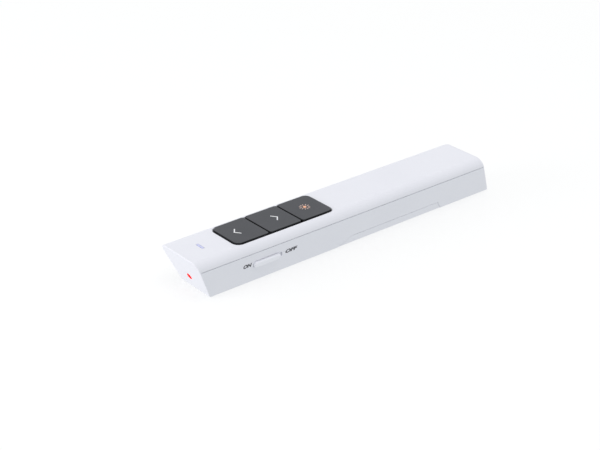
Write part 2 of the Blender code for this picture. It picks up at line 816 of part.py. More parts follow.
def cover_bosses():
    """The two bosses that the housing screws bite into."""
    low, high = BOARD_TOP + FIT, CEILING + SINK
    return [post(f"cover_boss_{side}", side * BOSS_X, BOSS_Y, BOSS_RADIUS, low, high) for side in (-1, 1)]


def cover_ribs():
    """Ribs that hold down the laser module, the cell and the receiver."""
    barrel_y = BARREL_REAR - RIB
    third = CELL_LENGTH / 3
    places = (
        ("barrel_rib", barrel_y, BARREL_TOP),
        ("cell_rib_front", CELL_FRONT + third, CELL_Z + CELL_DIAMETER / 2),
        ("cell_rib_rear", CELL_FRONT + 2 * third, CELL_Z + CELL_DIAMETER / 2),
        ("receiver_rib", CAP_FRONT, CAP_HIGH),
    )
    wide = (-SADDLE_HALF_WIDTH, SADDLE_HALF_WIDTH)
    return [block(name, wide, (y, y + RIB), (low + FIT, CEILING + SINK)) for name, y, low in places]


def bottom_housing():
    """Floor, leaning sides and tail face, with all that stands on the floor."""
    housing = outer_form("bottom_housing")
    cut(housing, above("over_seam", SEAM))
    lip = case_form("seam_lip", WALL - LIP_WALL, nose_depth=WALL + SINK + FIT)
    cut(lip, above("over_lip", SEAM + LIP_HEIGHT), below("under_lip", SEAM - SINK))
    join(housing, lip)
    mitre_gap = nose_mitre("mitre_gap", MITRE_SET + FIT * math.sqrt(2))
    cut(housing, cover_space("cover_gap", FIT), mitre_gap)
    hollow = case_form("housing_hollow", WALL)
    cut(hollow, *bulkheads(), *cradles(), *floor_posts(), *receiver_guides())
    seat_front, seat_rear = BARREL_FRONT - OVERRUN, BARREL_REAR + OVERRUN
    barrel_seat = rod("barrel_seat", 0, LASER_Z, BARREL_RADIUS + FIT, seat_front, seat_rear)
    cut(housing, hollow, barrel_seat)
    cut(housing, switch_slot(), receiver_mouth(), *floor_holes())
    return keep(housing, white_abs())


def bulkheads():
    """The two walls across the case that end the battery bay."""
    top = SEAM - BULKHEAD_DROP
    return [
        across("bulkhead_front", BAY_FRONT - RIB, RIB, -OVERRUN, top),
        across("bulkhead_rear", BAY_REAR, RIB, -OVERRUN, top),
    ]


def cradles():
    """The two blocks that carry the laser barrel."""
    half = BARREL_RADIUS + FIT + CRADLE_WALL
    return [
        block(f"cradle_{index}", (-half, half), (y, y + RIB), (-OVERRUN, LASER_Z))
        for index, y in enumerate(CRADLE_PLACES)
    ]


def floor_posts():
    """Bosses under the board, at the nose and at its rear end."""
    top = BOARD_BOTTOM - FIT
    places = [(side * BOSS_X, BOSS_Y) for side in (-1, 1)]
    places += [(side * SIDE_PLACE, BOARD_SCREW_Y) for side in (-1, 1)]
    posts = []
    for index, (x, y) in enumerate(places):
        posts.append(post(f"floor_post_{index}", x, y, BOSS_RADIUS, -OVERRUN, top))
    return posts


def receiver_guides():
    """Two side guides and a step under the stored receiver's plug."""
    inner = PLUG_WIDTH / 2 + FIT
    outer = half_width(HEIGHT) + OVERRUN
    front = PLUG_TIP + RIB
    along = (front, front + GUIDE_LENGTH)
    upright = (-OVERRUN, PLUG_Z + PLUG_HEIGHT / 2)
    return [
        block("guide_left", (-outer, -inner), along, upright),
        block("guide_right", (inner, outer), along, upright),
        across("guide_step", front, RIB, -OVERRUN, PLUG_Z - PLUG_HEIGHT / 2 - FIT),
    ]


def switch_slot():
    """The round-ended slot for the power knob, square to the leaning wall."""
    slot = slot_shape("switch_slot", SLOT_LENGTH, SLOT_HEIGHT, -WALL - OVERRUN, OVERRUN)
    return set_in_side(slot, SWITCH_Y)


def receiver_mouth():
    """The opening in the tail face that the receiver slides through."""
    wide = centred(0, CAP_WIDTH + 2 * FIT)
    along = (CAP_FRONT - FIT, FLOOR_REAR + OVERRUN)
    return block("receiver_mouth", wide, along, (CAP_LOW - FIT, CAP_HIGH + FIT))


def floor_holes():
    """The housing screws' holes with their head recesses, and the board screws' pilot holes."""
    holes = []
    recess, recess_radius = WALL - SCREW_SEAT_WALL, SCREW_HEAD_RADIUS + FIT
    clear_radius = SCREW_SHANK_RADIUS + FIT
    stepped = [
        (0, BOARD_TOP),
        (clear_radius, BOARD_TOP),
        (clear_radius, recess),
        (recess_radius, recess),
        (recess_radius, -OVERRUN),
        (0, -OVERRUN),
    ]
    low = BOARD_TOP + FIT - BOARD_SCREW_LENGTH - PILOT_END
    for side in (-1, 1):
        hole = turned(f"housing_screw_hole_{side}", stepped)
        hole.location = (side * BOSS_X, BOSS_Y, 0)
        holes.append(hole)
        holes.append(screw_hole(f"board_pilot_{side}", side * SIDE_PLACE, BOARD_SCREW_Y, low, BOARD_TOP))
    return holes


def battery_cover():
    """The cover under the cell: it wraps a little way up both sides, with rails inside them."""
    outline = cover_space("cover_outline", 0.0)
    cover = combine(outer_form("battery_cover", COVER_RECESS), "INTERSECT", [outline])
    rail = case_form("cover_rails", WALL + FIT, floor=COVER_RECESS + COVER_WALL - SINK)
    cut(rail, above("over_rails", COVER_RISE + RAIL_RISE))
    front = COVER_FRONT + COVER_FRONT_RUN + RAIL_END_SET
    rear = COVER_REAR - COVER_REAR_RUN - RAIL_END_SET
    low = -OVERRUN
    before = nose_y(HEIGHT) - OVERRUN
    cut(rail, across("before_rails", before, front - before, low, HEIGHT))
    cut(rail, across("behind_rails", rear, FLOOR_REAR - rear + OVERRUN, low, HEIGHT))
    join(cover, rail)
    hollow = case_form("cover_inside", WALL + FIT + RAIL_WALL, floor=COVER_RECESS + COVER_WALL)
    nail_y = COVER_REAR - NAIL_RECESS_SET
    nail = post("nail_recess", 0, nail_y, NAIL_RECESS_RADIUS, low, COVER_RECESS + NAIL_RECESS_DEPTH)
    cut(nail, across("nail_half", nail_y, NAIL_RECESS_SET + OVERRUN, 2 * low, HEIGHT))
    cut(cover, hollow, nail)
    return keep(cover, white_abs())


def key_cap(index):
    """A key's cap with a rounded top edge."""
    rings = [[(x, y, CAP_BOTTOM) for x, y in key_outline(index)]]
    for step in range(SMALL_EDGE_STEPS + 1):
        angle = math.pi / 2 * step / SMALL_EDGE_STEPS
        shrink = -KEY_EDGE_RADIUS * (1 - math.cos(angle))
        z = KEY_TOP - KEY_EDGE_RADIUS * (1 - math.sin(angle))
        rings.append([(x, y, z) for x, y in key_outline(index, shrink)])
    return loft(f"key_{KEY_NAMES[index]}", rings)


def key(index):
    """A key: its cap, the block under it that passes the mat, and the wings that hold it in."""
    name = KEY_NAMES[index]
    front = key_front(index) + KEY_BLOCK_INSET
    rear = key_front(index) + KEY_LENGTH - KEY_BLOCK_INSET
    stem_width = centred(0, 2 * BLOCK_HALF_WIDTH)
    stem = block(f"stem_{name}", stem_width, (front, rear), (KEY_BOTTOM, CAP_BOTTOM + SINK))
    wings = block(
        f"wings_{name}", centred(0, 2 * (BLOCK_HALF_WIDTH + WING_WIDTH)),
        (front + SINK, rear - SINK), (KEY_BOTTOM, WING_TOP),
    )
    return keep(join(key_cap(index), stem, wings), grey_key_plastic())


def keypad_mat():
    """The silicone mat under the cover, with a window for each key's block."""
    mat = block("keypad_mat", centred(0, 2 * MAT_HALF_WIDTH), (MAT_FRONT, MAT_REAR), (MAT_BOTTOM, MAT_TOP))
    for index, name in enumerate(KEY_NAMES):
        front = key_front(index) + KEY_BLOCK_INSET - FIT
        rear = key_front(index) + KEY_LENGTH - KEY_BLOCK_INSET + FIT
        window = block(
            f"mat_window_{name}", centred(0, 2 * (BLOCK_HALF_WIDTH + FIT)), (front, rear),
            (MAT_BOTTOM - OVERRUN, MAT_TOP + OVERRUN),
        )
        cut(mat, window)
    return keep(mat, dark_silicone())


def tact_switch(index):
    """The switch under a key, with the well that its plunger moves in."""
    name = KEY_NAMES[index]
    y = key_centre(index)
    sides = centred(0, TACT_SIDE), centred(y, TACT_SIDE)
    body = block(f"tact_switch_{name}", *sides, (TACT_BOTTOM, TACT_TOP))
    depth = PLUNGER_DEPTH + KEY_TRAVEL + FIT
    well = post(f"well_{name}", 0, y, PLUNGER_RADIUS + FIT, TACT_TOP - depth, TACT_TOP + OVERRUN)
    return keep(cut(body, well), black_moulding())


def plunger(index):
    """The plunger that the key presses."""
    name = f"plunger_{KEY_NAMES[index]}"
    pin = post(name, 0, key_centre(index), PLUNGER_RADIUS, TACT_TOP - PLUNGER_DEPTH, PLUNGER_TOP)
    return keep(smooth(pin), black_moulding())


def main_board():
    """The circuit board: forked round the laser module, with a notch beside the power knob."""
    flange_half = (KNOB_LENGTH + SWITCH_TRAVEL) / 2 + FLANGE_LAP + FIT
    half = BOARD_HALF_WIDTH
    outline = [
        (NOTCH_HALF_WIDTH, BOARD_FRONT),
        (half, BOARD_FRONT),
        (half, SWITCH_Y - flange_half),
        (SWITCH_NOTCH_X, SWITCH_Y - flange_half),
        (SWITCH_NOTCH_X, SWITCH_Y + flange_half),
        (half, SWITCH_Y + flange_half),
        (half, BOARD_REAR),
        (-half, BOARD_REAR),
        (-half, BOARD_FRONT),
        (-NOTCH_HALF_WIDTH, BOARD_FRONT),
        (-NOTCH_HALF_WIDTH, NOTCH_END),
        (NOTCH_HALF_WIDTH, NOTCH_END),
    ]
    board = flat_shape("main_board", outline, BOARD_THICKNESS)
    board.location.z = (BOARD_BOTTOM + BOARD_TOP) / 2
    low, high = BOARD_BOTTOM - OVERRUN, BOARD_TOP + OVERRUN
    for side in (-1, 1):
        cut(board, screw_hole(f"board_front_hole_{side}", side * BOSS_X, BOSS_Y, low, high))
        cut(board, screw_hole(f"board_rear_hole_{side}", side * SIDE_PLACE, BOARD_SCREW_Y, low, high))
    return keep(board, green_laminate())


def on_board(name, x, y, size, material):
    """A part that stands on the board."""
    width, length, height = size
    low = BOARD_TOP + FIT
    return keep(block(name, centred(x, width), centred(y, length), (low, low + height)), material)


def board_parts():
    """The larger parts soldered between the key switches."""
    first, second = between_keys(0), between_keys(1)
    on_board("radio_chip", 0, first, (RADIO_SIDE, RADIO_SIDE, RADIO_HEIGHT), black_moulding())
    on_board("memory_chip", 0, second, (MEMORY_WIDTH, MEMORY_LENGTH, MEMORY_HEIGHT), black_moulding())
    crystal = (CRYSTAL_WIDTH, CRYSTAL_LENGTH, CRYSTAL_HEIGHT)
    on_board("clock_crystal", -SIDE_PLACE, first, crystal, nickel_plate())
    capacitor = (CAPACITOR_WIDTH, CAPACITOR_LENGTH, CAPACITOR_HEIGHT)
    on_board("filter_capacitor", SIDE_PLACE, second, capacitor, tan_ceramic())
    inductor = (INDUCTOR_SIDE, INDUCTOR_SIDE, INDUCTOR_HEIGHT)
    on_board("boost_inductor", -SIDE_PLACE, second, inductor, black_moulding())
    on_board("indicator_led", BOSS_X, INDICATOR_Y, (LED_WIDTH, LED_LENGTH, LED_HEIGHT), lamp_resin())


def indicator_lens():
    """The clear guide from the lamp on the board up to the slot in the top."""
    along = centred(INDICATOR_Y, INDICATOR_DEPTH)
    half = INDICATOR_WIDTH / 2
    blade = block("indicator_lens", (-half, half), along, (GUIDE_ARM_BOTTOM, HEIGHT))
    arm_end = BOSS_X + LED_WIDTH / 2
    arm_top = GUIDE_ARM_BOTTOM + GUIDE_ARM_HEIGHT
    arm = block("guide_arm", (SINK - half, arm_end), along, (GUIDE_ARM_BOTTOM, arm_top))
    lap = 2 * GUIDE_COLLAR_LAP
    collar_top = CEILING - FIT
    collar = block(
        "guide_collar", centred(0, INDICATOR_WIDTH + lap), centred(INDICATOR_Y, INDICATOR_DEPTH + lap),
        (collar_top - GUIDE_COLLAR_HEIGHT, collar_top),
    )
    return keep(join(blade, arm, collar), clear_acrylic())


def slide_switch_body():
    """The power switch's body under the board, with the window that its lever moves in."""
    body = block(
        "slide_switch_body", (SWITCH_FACE_X - SWITCH_DEPTH, SWITCH_FACE_X), centred(SWITCH_Y, SWITCH_LENGTH),
        (SWITCH_BOTTOM, SWITCH_TOP),
    )
    window = block(
        "lever_window", (SWITCH_FACE_X - LEVER_ROOT - FIT, SWITCH_FACE_X + OVERRUN),
        centred(SWITCH_Y, LEVER_WIDTH + SWITCH_TRAVEL + 2 * FIT), centred(LEVER_Z, LEVER_HEIGHT + 2 * FIT),
    )
    return keep(cut(body, window), nickel_plate())


def slide_switch_lever():
    """The lever that the knob carries along."""
    lever = block(
        "slide_switch_lever", (SWITCH_FACE_X - LEVER_ROOT, LEVER_TIP_X), centred(KNOB_Y, LEVER_WIDTH),
        centred(LEVER_Z, LEVER_HEIGHT),
    )
    return keep(lever, black_moulding())


def switch_knob():
    """The knob in the side's slot, its flange inside the wall and the hole that holds the lever."""
    inner = -WALL - FIT - FLANGE_THICKNESS
    knob = slot_shape("switch_knob", KNOB_LENGTH, KNOB_HEIGHT, inner + SINK, KNOB_STAND)
    set_in_side(knob, KNOB_Y)
    flange = block(
        "knob_flange", (inner, inner + FLANGE_THICKNESS), centred(0, KNOB_LENGTH + 2 * FLANGE_LAP),
        (-KNOB_RISE - FLANGE_DROP, KNOB_HEIGHT / 2 + FLANGE_LAP),
    )
    for vertex in flange.data.vertices:
        vertex.co += flange.location
    set_in_side(flange, KNOB_Y)
    reach = half_width(KNOB_Z)
    hole = block(
        "lever_hole", (SWITCH_FACE_X, reach - WALL), centred(KNOB_Y, LEVER_WIDTH + 2 * LEVER_FIT),
        centred(LEVER_Z, LEVER_HEIGHT + 2 * LEVER_FIT),
    )
    return keep(cut(join(knob, flange), hole), white_abs())


def laser_barrel():
    """The brass tube round the optics, with a lip at its mouth."""
    profile = [
        (BARREL_MOUTH_RADIUS, 0),
        (BARREL_RADIUS, 0),
        (BARREL_RADIUS, -BARREL_LENGTH),
        (BARREL_BORE_RADIUS, -BARREL_LENGTH),
        (BARREL_BORE_RADIUS, -BARREL_LIP),
        (BARREL_MOUTH_RADIUS, -BARREL_LIP),
    ]
    barrel = lie_along(turned("laser_barrel", profile, closed=True), 0, BARREL_FRONT, LASER_Z)
    return keep(barrel, turned_brass())


def laser_window():
    """The flat window behind the barrel's lip."""
    radius = BARREL_BORE_RADIUS - FIT
    disc = rod("laser_window", 0, LASER_Z, radius, WINDOW_FRONT, WINDOW_FRONT + WINDOW_THICKNESS)
    return keep(smooth(disc), optical_glass())


def laser_lens():
    """The lens that makes the beam parallel."""
    radius = BARREL_BORE_RADIUS - FIT
    steps = range(SMALL_EDGE_STEPS + 1)
    bulge = [LENS_BULGE * (1 - (step / SMALL_EDGE_STEPS) ** 2) for step in steps]
    front = [(radius * step / SMALL_EDGE_STEPS, bulge[step] - LENS_BULGE) for step in steps]
    rear = [(r, -LENS_THICKNESS - z) for r, z in reversed(front)]
    return keep(lie_along(turned("laser_lens", front + rear), 0, LENS_FRONT, LASER_Z), optical_glass())


def lens_spring():
    """The small spring that holds the lens forward."""
    wire = LENS_SPRING_WIRE_RADIUS
    radius = BARREL_BORE_RADIUS - FIT - wire
    spring = coil("lens_spring", (radius, radius), LENS_SPRING_TURNS, LENS_SPRING_LENGTH, wire)
    spring.location = (0, LENS_SPRING_FRONT, LASER_Z)
    return keep(spring, zinc_steel())


def laser_diode():
    """The diode's can in the barrel, its flange behind it and its two pins."""
    can = BARREL_BORE_RADIUS - FIT
    can_length = DIODE_SEAT - DIODE_FRONT
    profile = [
        (0, can_length),
        (can, can_length),
        (can, 0),
        (BARREL_RADIUS, 0),
        (BARREL_RADIUS, -DIODE_FLANGE),
        (0, -DIODE_FLANGE),
    ]
    diode = lie_along(turned("laser_diode", profile), 0, DIODE_SEAT, LASER_Z)
    back = DIODE_SEAT + DIODE_FLANGE
    ends = back - SNUG, back + PIN_LENGTH
    pins = [rod(f"diode_pin_{side}", side * PIN_SPREAD, LASER_Z, PIN_RADIUS, *ends) for side in (-1, 1)]
    return keep(join(diode, *pins), nickel_plate())


def laser_board():
    """The small driver board behind the diode."""
    board = block(
        "laser_board", centred(0, LASER_BOARD_WIDTH), (LASER_BOARD_FRONT, LASER_BOARD_REAR),
        centred(LASER_Z, LASER_BOARD_THICKNESS),
    )
    return keep(board, green_laminate())


def laser_wire(name, side, place, material):
    """A lead that arches from the driver board over to a fork of the main board."""
    y = LASER_BOARD_FRONT + LASER_BOARD_LENGTH * place
    start_x = LASER_BOARD_WIDTH / 2 - LASER_WIRE_SET
    start = (side * start_x, y, LASER_Z + LASER_BOARD_THICKNESS / 2 + FIT)
    end = (side * BOSS_X, y, BOARD_TOP + FIT)
    return keep(tube(name, arched_route(start, end, LASER_WIRE_ARCH), LASER_WIRE_RADIUS), material)


def battery_cell():
    """The round cell, its button towards the nose."""
    radius = CELL_DIAMETER / 2
    nub = NUB_DIAMETER / 2
    profile = [
        (0, 0),
        (nub, 0),
        (nub, -NUB_HEIGHT),
        (radius - CELL_EDGE, -NUB_HEIGHT),
        (radius, -NUB_HEIGHT - CELL_EDGE),
        (radius, CELL_EDGE - CELL_LENGTH),
        (radius - CELL_EDGE, -CELL_LENGTH),
        (0, -CELL_LENGTH),
    ]
    return keep(lie_along(turned("battery_cell", profile), 0, CELL_FRONT, CELL_Z), cell_sleeve())


def wire_tab_z():
    """The height at which the leads leave the contacts' tabs."""
    return SEAM - FIT - CONTACT_TAB_RISE / 2


def black_wire_x():
    """Where the long lead runs beside the cell."""
    return BATTERY_WIRE_SIDE_ROOM + BATTERY_WIRE_RADIUS - half_width(wire_tab_z(), WALL)


def contact_plate(name, front, tab_x):
    """A flat contact across the bay with a tab up to its lead, which may stand out at its side."""
    half = CONTACT_WIDTH / 2
    low, high = -CONTACT_HEIGHT / 2, CONTACT_HEIGHT / 2
    tab_top = SEAM - FIT - CELL_Z
    left, right = centred(tab_x, CONTACT_TAB_WIDTH)
    foot = high if left > -half else high - CONTACT_TAB_WIDTH
    outline = [(-half, low), (half, low), (half, high), (right, high)]
    outline += [(right, tab_top), (left, tab_top), (left, foot), (-half, foot)]
    plate = flat_shape(name, outline, CONTACT_SHEET)
    plate.rotation_euler.x = math.pi / 2
    plate.location = (0, front + CONTACT_SHEET / 2, CELL_Z)
    return keep(plate, nickel_plate())


def negative_spring():
    """The cone spring behind the cell, wide at its plate."""
    radii = (SPRING_NARROW_RADIUS, SPRING_WIDE_RADIUS)
    spring = coil("negative_spring", radii, SPRING_TURNS, SPRING_LENGTH, SPRING_WIRE_RADIUS)
    spring.location = (0, SPRING_FRONT, CELL_Z)
    return keep(spring, nickel_plate())


def screw(name, x, y, seat, length, head_height, points_up):
    """A pan-head screw: its head's underside is at the seat and its point is a length away."""
    point = length - SCREW_SHANK_RADIUS
    profile = [
        (0, head_height),
        (SCREW_HEAD_RADIUS, head_height),
        (SCREW_HEAD_RADIUS, 0),
        (SCREW_SHANK_RADIUS, 0),
        (SCREW_SHANK_RADIUS, -point),
        (0, -length),
    ]
    piece = turned(name, profile)
    piece.location = (x, y, seat)
    piece.rotation_euler.x = math.pi if points_up else 0
    return keep(piece, zinc_steel())


def screws():
    """Two screws join the housings through the board, and two hold the board's rear end."""
    seat = WALL - SCREW_SEAT_WALL - FIT
    length = BOARD_TOP + HOUSING_SCREW_REACH - seat
    for side, name in ((-1, "right"), (1, "left")):
        screw(f"housing_screw_{name}", side * BOSS_X, BOSS_Y, seat, length, seat - SCREW_HEAD_INSET, True)
        screw(
            f"board_screw_{name}", side * SIDE_PLACE, BOARD_SCREW_Y, BOARD_TOP + FIT, BOARD_SCREW_LENGTH,
            SCREW_HEAD_HEIGHT, False,
        )


def receiver_cap():
    """The receiver's grip: it follows the slanted tail face and stands a little proud of it."""
    side = [
        (CAP_FRONT, CAP_LOW),
        (tail_y(CAP_LOW, -CAP_STAND), CAP_LOW),
        (tail_y(CAP_HIGH, -CAP_STAND), CAP_HIGH),
        (CAP_FRONT, CAP_HIGH),
    ]
    cap = flat_shape("receiver_cap", side, CAP_WIDTH)
    cap.rotation_euler = (math.pi / 2, 0, math.pi / 2)
    edges = cap.modifiers.new("soft edges", "BEVEL")
    edges.width = CAP_EDGE
    edges.segments = SMALL_EDGE_STEPS
    pocket = block(
        "cap_pocket", centred(0, PLUG_WIDTH - 2 * PLUG_SHEET + 2 * FIT),
        (CAP_FRONT - OVERRUN, CAP_FRONT + PLUG_ROOT + RECEIVER_BOARD_LENGTH + FIT),
        centred(PLUG_Z, PLUG_INSIDE_HEIGHT),
    )
    return keep(cut(cap, pocket), white_abs())


def receiver_plug_shell():
    """The plug's sheet-metal shell, open at its tip."""
    rear = CAP_FRONT - FIT
    high = centred(PLUG_Z, PLUG_HEIGHT)
    shell = block("receiver_plug_shell", centred(0, PLUG_WIDTH), (PLUG_TIP, rear), high)
    inside = block(
        "shell_inside", centred(0, PLUG_WIDTH - 2 * PLUG_SHEET), (PLUG_TIP - OVERRUN, rear + OVERRUN),
        centred(PLUG_Z, PLUG_INSIDE_HEIGHT),
    )
    return keep(cut(shell, inside), nickel_plate())


def receiver_tongue():
    """The plastic tongue that carries the plug's contacts, rooted in the cap."""
    low = PLUG_Z - PLUG_INSIDE_HEIGHT / 2 + FIT
    tongue = block(
        "receiver_tongue", centred(0, PLUG_WIDTH - 2 * PLUG_SHEET - 2 * FIT),
        (PLUG_TIP + TONGUE_SET, CAP_FRONT + PLUG_ROOT - FIT), (low, low + TONGUE_HEIGHT),
    )
    return keep(tongue, black_moulding())


def receiver_board():
    """The receiver's circuit, in the cap behind the tongue."""
    low = PLUG_Z - PLUG_INSIDE_HEIGHT / 2 + FIT
    front = CAP_FRONT + PLUG_ROOT
    board = block(
        "receiver_board", centred(0, PLUG_WIDTH - 2 * PLUG_SHEET - 2 * FIT),
        (front, front + RECEIVER_BOARD_LENGTH), (low, low + RECEIVER_BOARD_THICKNESS),
    )
    return keep(board, green_laminate())


def battery_wires():
    """The leads from the two contacts to the board's rear end."""
    radius = BATTERY_WIRE_RADIUS
    tab_z = wire_tab_z()
    pad_y = BOARD_REAR - BATTERY_WIRE_PAD_SET
    pad_z = BOARD_TOP + FIT + radius
    red = eased_route((RED_WIRE_X, POSITIVE_CONTACT_Y - FIT, tab_z), (RED_WIRE_X, pad_y, pad_z))
    keep(tube("battery_wire_red", red, radius), red_insulation())
    side_x = black_wire_x()
    black = [(side_x, NEGATIVE_CONTACT_Y - FIT, tab_z)]
    black += eased_route((side_x, BAY_FRONT, tab_z), (-SIDE_PLACE, pad_y, pad_z))
    keep(tube("battery_wire_black", black, radius), black_insulation())


def main():
    clear_scene()
    top_cover()
    bottom_housing()
    battery_cover()
    for index in range(len(KEY_NAMES)):
        key(index)
        tact_switch(index)
        plunger(index)
    keypad_mat()
    main_board()
    board_parts()
    indicator_lens()
    slide_switch_body()
    slide_switch_lever()
    switch_knob()
    laser_barrel()
    laser_window()
    laser_lens()
    lens_spring()
    laser_diode()
    laser_board()
    laser_wire("laser_wire_red", 1, LASER_WIRE_SHARES[0], red_insulation())
    laser_wire("laser_wire_black", -1, LASER_WIRE_SHARES[1], black_insulation())
    battery_cell()
    contact_plate("positive_contact", POSITIVE_CONTACT_Y, RED_WIRE_X)
    contact_plate("negative_contact", NEGATIVE_CONTACT_Y, black_wire_x())
    negative_spring()
    battery_wires()
    screws()
    receiver_cap()
    receiver_plug_shell()
    receiver_tongue()
    receiver_board()


main()
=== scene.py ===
import math

import bmesh
import bpy
import numpy as np
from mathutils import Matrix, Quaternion, Vector


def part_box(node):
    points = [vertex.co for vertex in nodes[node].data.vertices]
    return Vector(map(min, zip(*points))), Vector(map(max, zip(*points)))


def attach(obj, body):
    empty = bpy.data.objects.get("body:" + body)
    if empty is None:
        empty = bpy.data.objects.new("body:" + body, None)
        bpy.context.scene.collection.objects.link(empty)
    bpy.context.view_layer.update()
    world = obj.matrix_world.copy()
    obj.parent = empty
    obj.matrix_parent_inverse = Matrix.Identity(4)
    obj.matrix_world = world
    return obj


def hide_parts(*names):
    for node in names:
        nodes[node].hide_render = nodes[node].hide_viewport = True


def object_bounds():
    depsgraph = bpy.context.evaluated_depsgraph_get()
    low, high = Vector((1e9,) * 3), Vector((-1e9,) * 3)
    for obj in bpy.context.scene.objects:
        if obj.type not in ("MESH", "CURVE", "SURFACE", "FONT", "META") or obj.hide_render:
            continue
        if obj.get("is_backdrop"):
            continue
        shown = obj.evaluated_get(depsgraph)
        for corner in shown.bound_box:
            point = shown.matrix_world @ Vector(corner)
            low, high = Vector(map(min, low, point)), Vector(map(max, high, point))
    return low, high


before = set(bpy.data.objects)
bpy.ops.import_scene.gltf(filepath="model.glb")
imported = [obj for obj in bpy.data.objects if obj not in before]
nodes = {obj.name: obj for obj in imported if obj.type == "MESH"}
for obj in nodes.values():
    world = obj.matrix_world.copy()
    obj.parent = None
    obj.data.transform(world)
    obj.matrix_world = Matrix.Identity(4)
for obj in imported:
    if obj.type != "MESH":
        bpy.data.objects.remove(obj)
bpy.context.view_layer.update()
MM = 0.001

# Bottom housing. White ABS with a finely spark-eroded surface, injection moulded as an open tub:
# floor, two sides that lean out as they rise, and the slanted tail face. A thin lip stands inside
# its rim for the top cover to close over, and slots are open for the knob, cell and receiver.

QUARTER = math.pi / 2
WALL = 1.6 * MM
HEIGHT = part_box("top_cover")[1].z
SEAM = 11.6 * MM
LIP_HEIGHT = 1.0 * MM
LIP_INSET = 1.0 * MM
FLOOR_WIDTH = 15.9 * MM
FLOOR_LENGTH = 131.0 * MM
SIDE_LEAN = math.radians(11.2)
NOSE_LEAN = math.radians(24.56)
TAIL_LEAN = math.radians(24.0)
TOP_EDGE_RADIUS = 2.85 * MM
FLOOR_EDGE_RADIUS = 0.5 * MM
END_EDGE_RADIUS = 0.35 * MM
TAIL_CORNER_RADIUS = 1.2 * MM
TINY = 0.05 * MM
OVERRUN = 2.0 * MM
RUNNING_GAP = 0.3 * MM
FLOOR_FRONT = (HEIGHT * math.tan(NOSE_LEAN) - FLOOR_LENGTH) / 2
FLOOR_REAR = FLOOR_FRONT + FLOOR_LENGTH
SHOULDER_STEPS = 24
FOOT_STEPS = 6
END_STEPS = 7
CORNER_STEPS = 14
RIM_STEPS = 5


def half_width(height, inset=0.0):
    """Half the case's width on its leaning side at a height, drawn in square to the side."""
    return FLOOR_WIDTH / 2 + math.tan(SIDE_LEAN) * height - inset / math.cos(SIDE_LEAN)


def nose_y(height, depth=0.0):
    """The slanted nose plane at a height, or a plane parallel to it that lies a depth behind it."""
    return FLOOR_FRONT - math.tan(NOSE_LEAN) * height + depth / math.cos(NOSE_LEAN)


def tail_y(height, depth=0.0):
    """The slanted tail plane at a height, or a plane parallel to it that lies a depth before it."""
    return FLOOR_REAR - math.tan(TAIL_LEAN) * height - depth / math.cos(TAIL_LEAN)


WIDE = half_width(HEIGHT) + OVERRUN
ABOVE = HEIGHT + OVERRUN
FORE = nose_y(HEIGHT) - OVERRUN
AFT = FLOOR_REAR + OVERRUN


def arc(centre, radius, start, end, steps):
    """Points of a circle's arc: centre plus radius times (cos, sin) of evenly spaced angles."""
    angles = np.linspace(start, end, steps + 1)
    return np.column_stack((centre[0] + radius * np.cos(angles), centre[1] + radius * np.sin(angles)))


def disc(centre, radius, steps=48):
    """A full circle about a centre, without its repeated last point."""
    return arc(centre, radius, 0, 2 * math.pi, steps)[:-1]


def case_outline(inset, floor=None):
    """The case across, in X and Z: the floor, a foot arc, the leaning side and the shoulder arc on
    the right, and the same mirrored on the left, all drawn in by an inset."""
    low = inset if floor is None else floor
    foot = max(FLOOR_EDGE_RADIUS - low, TINY)
    shoulder = max(TOP_EDGE_RADIUS - inset, TINY)
    foot_z, shoulder_z = low + foot, HEIGHT - inset - shoulder
    foot_x, shoulder_x = half_width(foot_z, inset + foot), half_width(shoulder_z, inset + shoulder)
    right = np.vstack((
        arc((foot_x, foot_z), foot, -QUARTER, -SIDE_LEAN, FOOT_STEPS),
        arc((shoulder_x, shoulder_z), shoulder, -SIDE_LEAN, QUARTER, SHOULDER_STEPS),
    ))
    return np.vstack((right, right[::-1] * (-1, 1)))


def laid(outline, place, axis=2):
    """A flat outline laid square across an axis at a place on it."""
    return np.insert(outline, axis, place, axis=1)


def on_end(outline, plane, depth):
    """An outline in X and Z laid on a slanted end plane at a depth."""
    return np.column_stack((outline[:, 0], plane(outline[:, 1], depth), outline[:, 1]))


def linked(name, data):
    """A new object in the scene."""
    made = bpy.data.objects.new(name, data)
    bpy.context.scene.collection.objects.link(made)
    return made


def turn_out(mesh):
    """Merges doubled points and points all faces of a closed mesh outwards."""
    shape = bmesh.new()
    shape.from_mesh(mesh)
    bmesh.ops.remove_doubles(shape, verts=shape.verts, dist=MM / 1000)
    bmesh.ops.recalc_face_normals(shape, faces=shape.faces)
    shape.to_mesh(mesh)
    shape.free()


def skin(name, rings, filled=True):
    """A closed surface over a stack of rings: quads join each point of a ring to the same point of
    the next ring, and the first and last ring are filled, unless they are the same ring."""
    points = np.array(rings)
    count, around = points.shape[:2]
    index = np.arange(count * around).reshape(count, around)
    following = np.roll(index, -1, axis=1)
    quads = np.stack((index[:-1], following[:-1], following[1:], index[1:]), axis=-1).reshape(-1, 4)
    ends = [index[0].tolist(), index[-1].tolist()] if filled else []
    mesh = bpy.data.meshes.new(name)
    mesh.from_pydata(points.reshape(-1, 3), [], quads.tolist() + ends)
    turn_out(mesh)
    return linked(name, mesh)


def prism(name, outline, places, axis=2):
    """An outline carried along an axis between two places."""
    return skin(name, [laid(outline, place, axis) for place in places])


def rod(name, centre, radius, start, end, axis=2):
    """A cylinder along an axis."""
    return prism(name, disc(centre, radius), (start, end), axis)


def box_outline(low, high):
    """Four corners between two (first, second) pairs."""
    return np.array([(low[0], low[1]), (high[0], low[1]), (high[0], high[1]), (low[0], high[1])])


def box(name, low, high):
    """A block between its lowest and highest corner."""
    return prism(name, box_outline(low[:2], high[:2]), (low[2], high[2]))


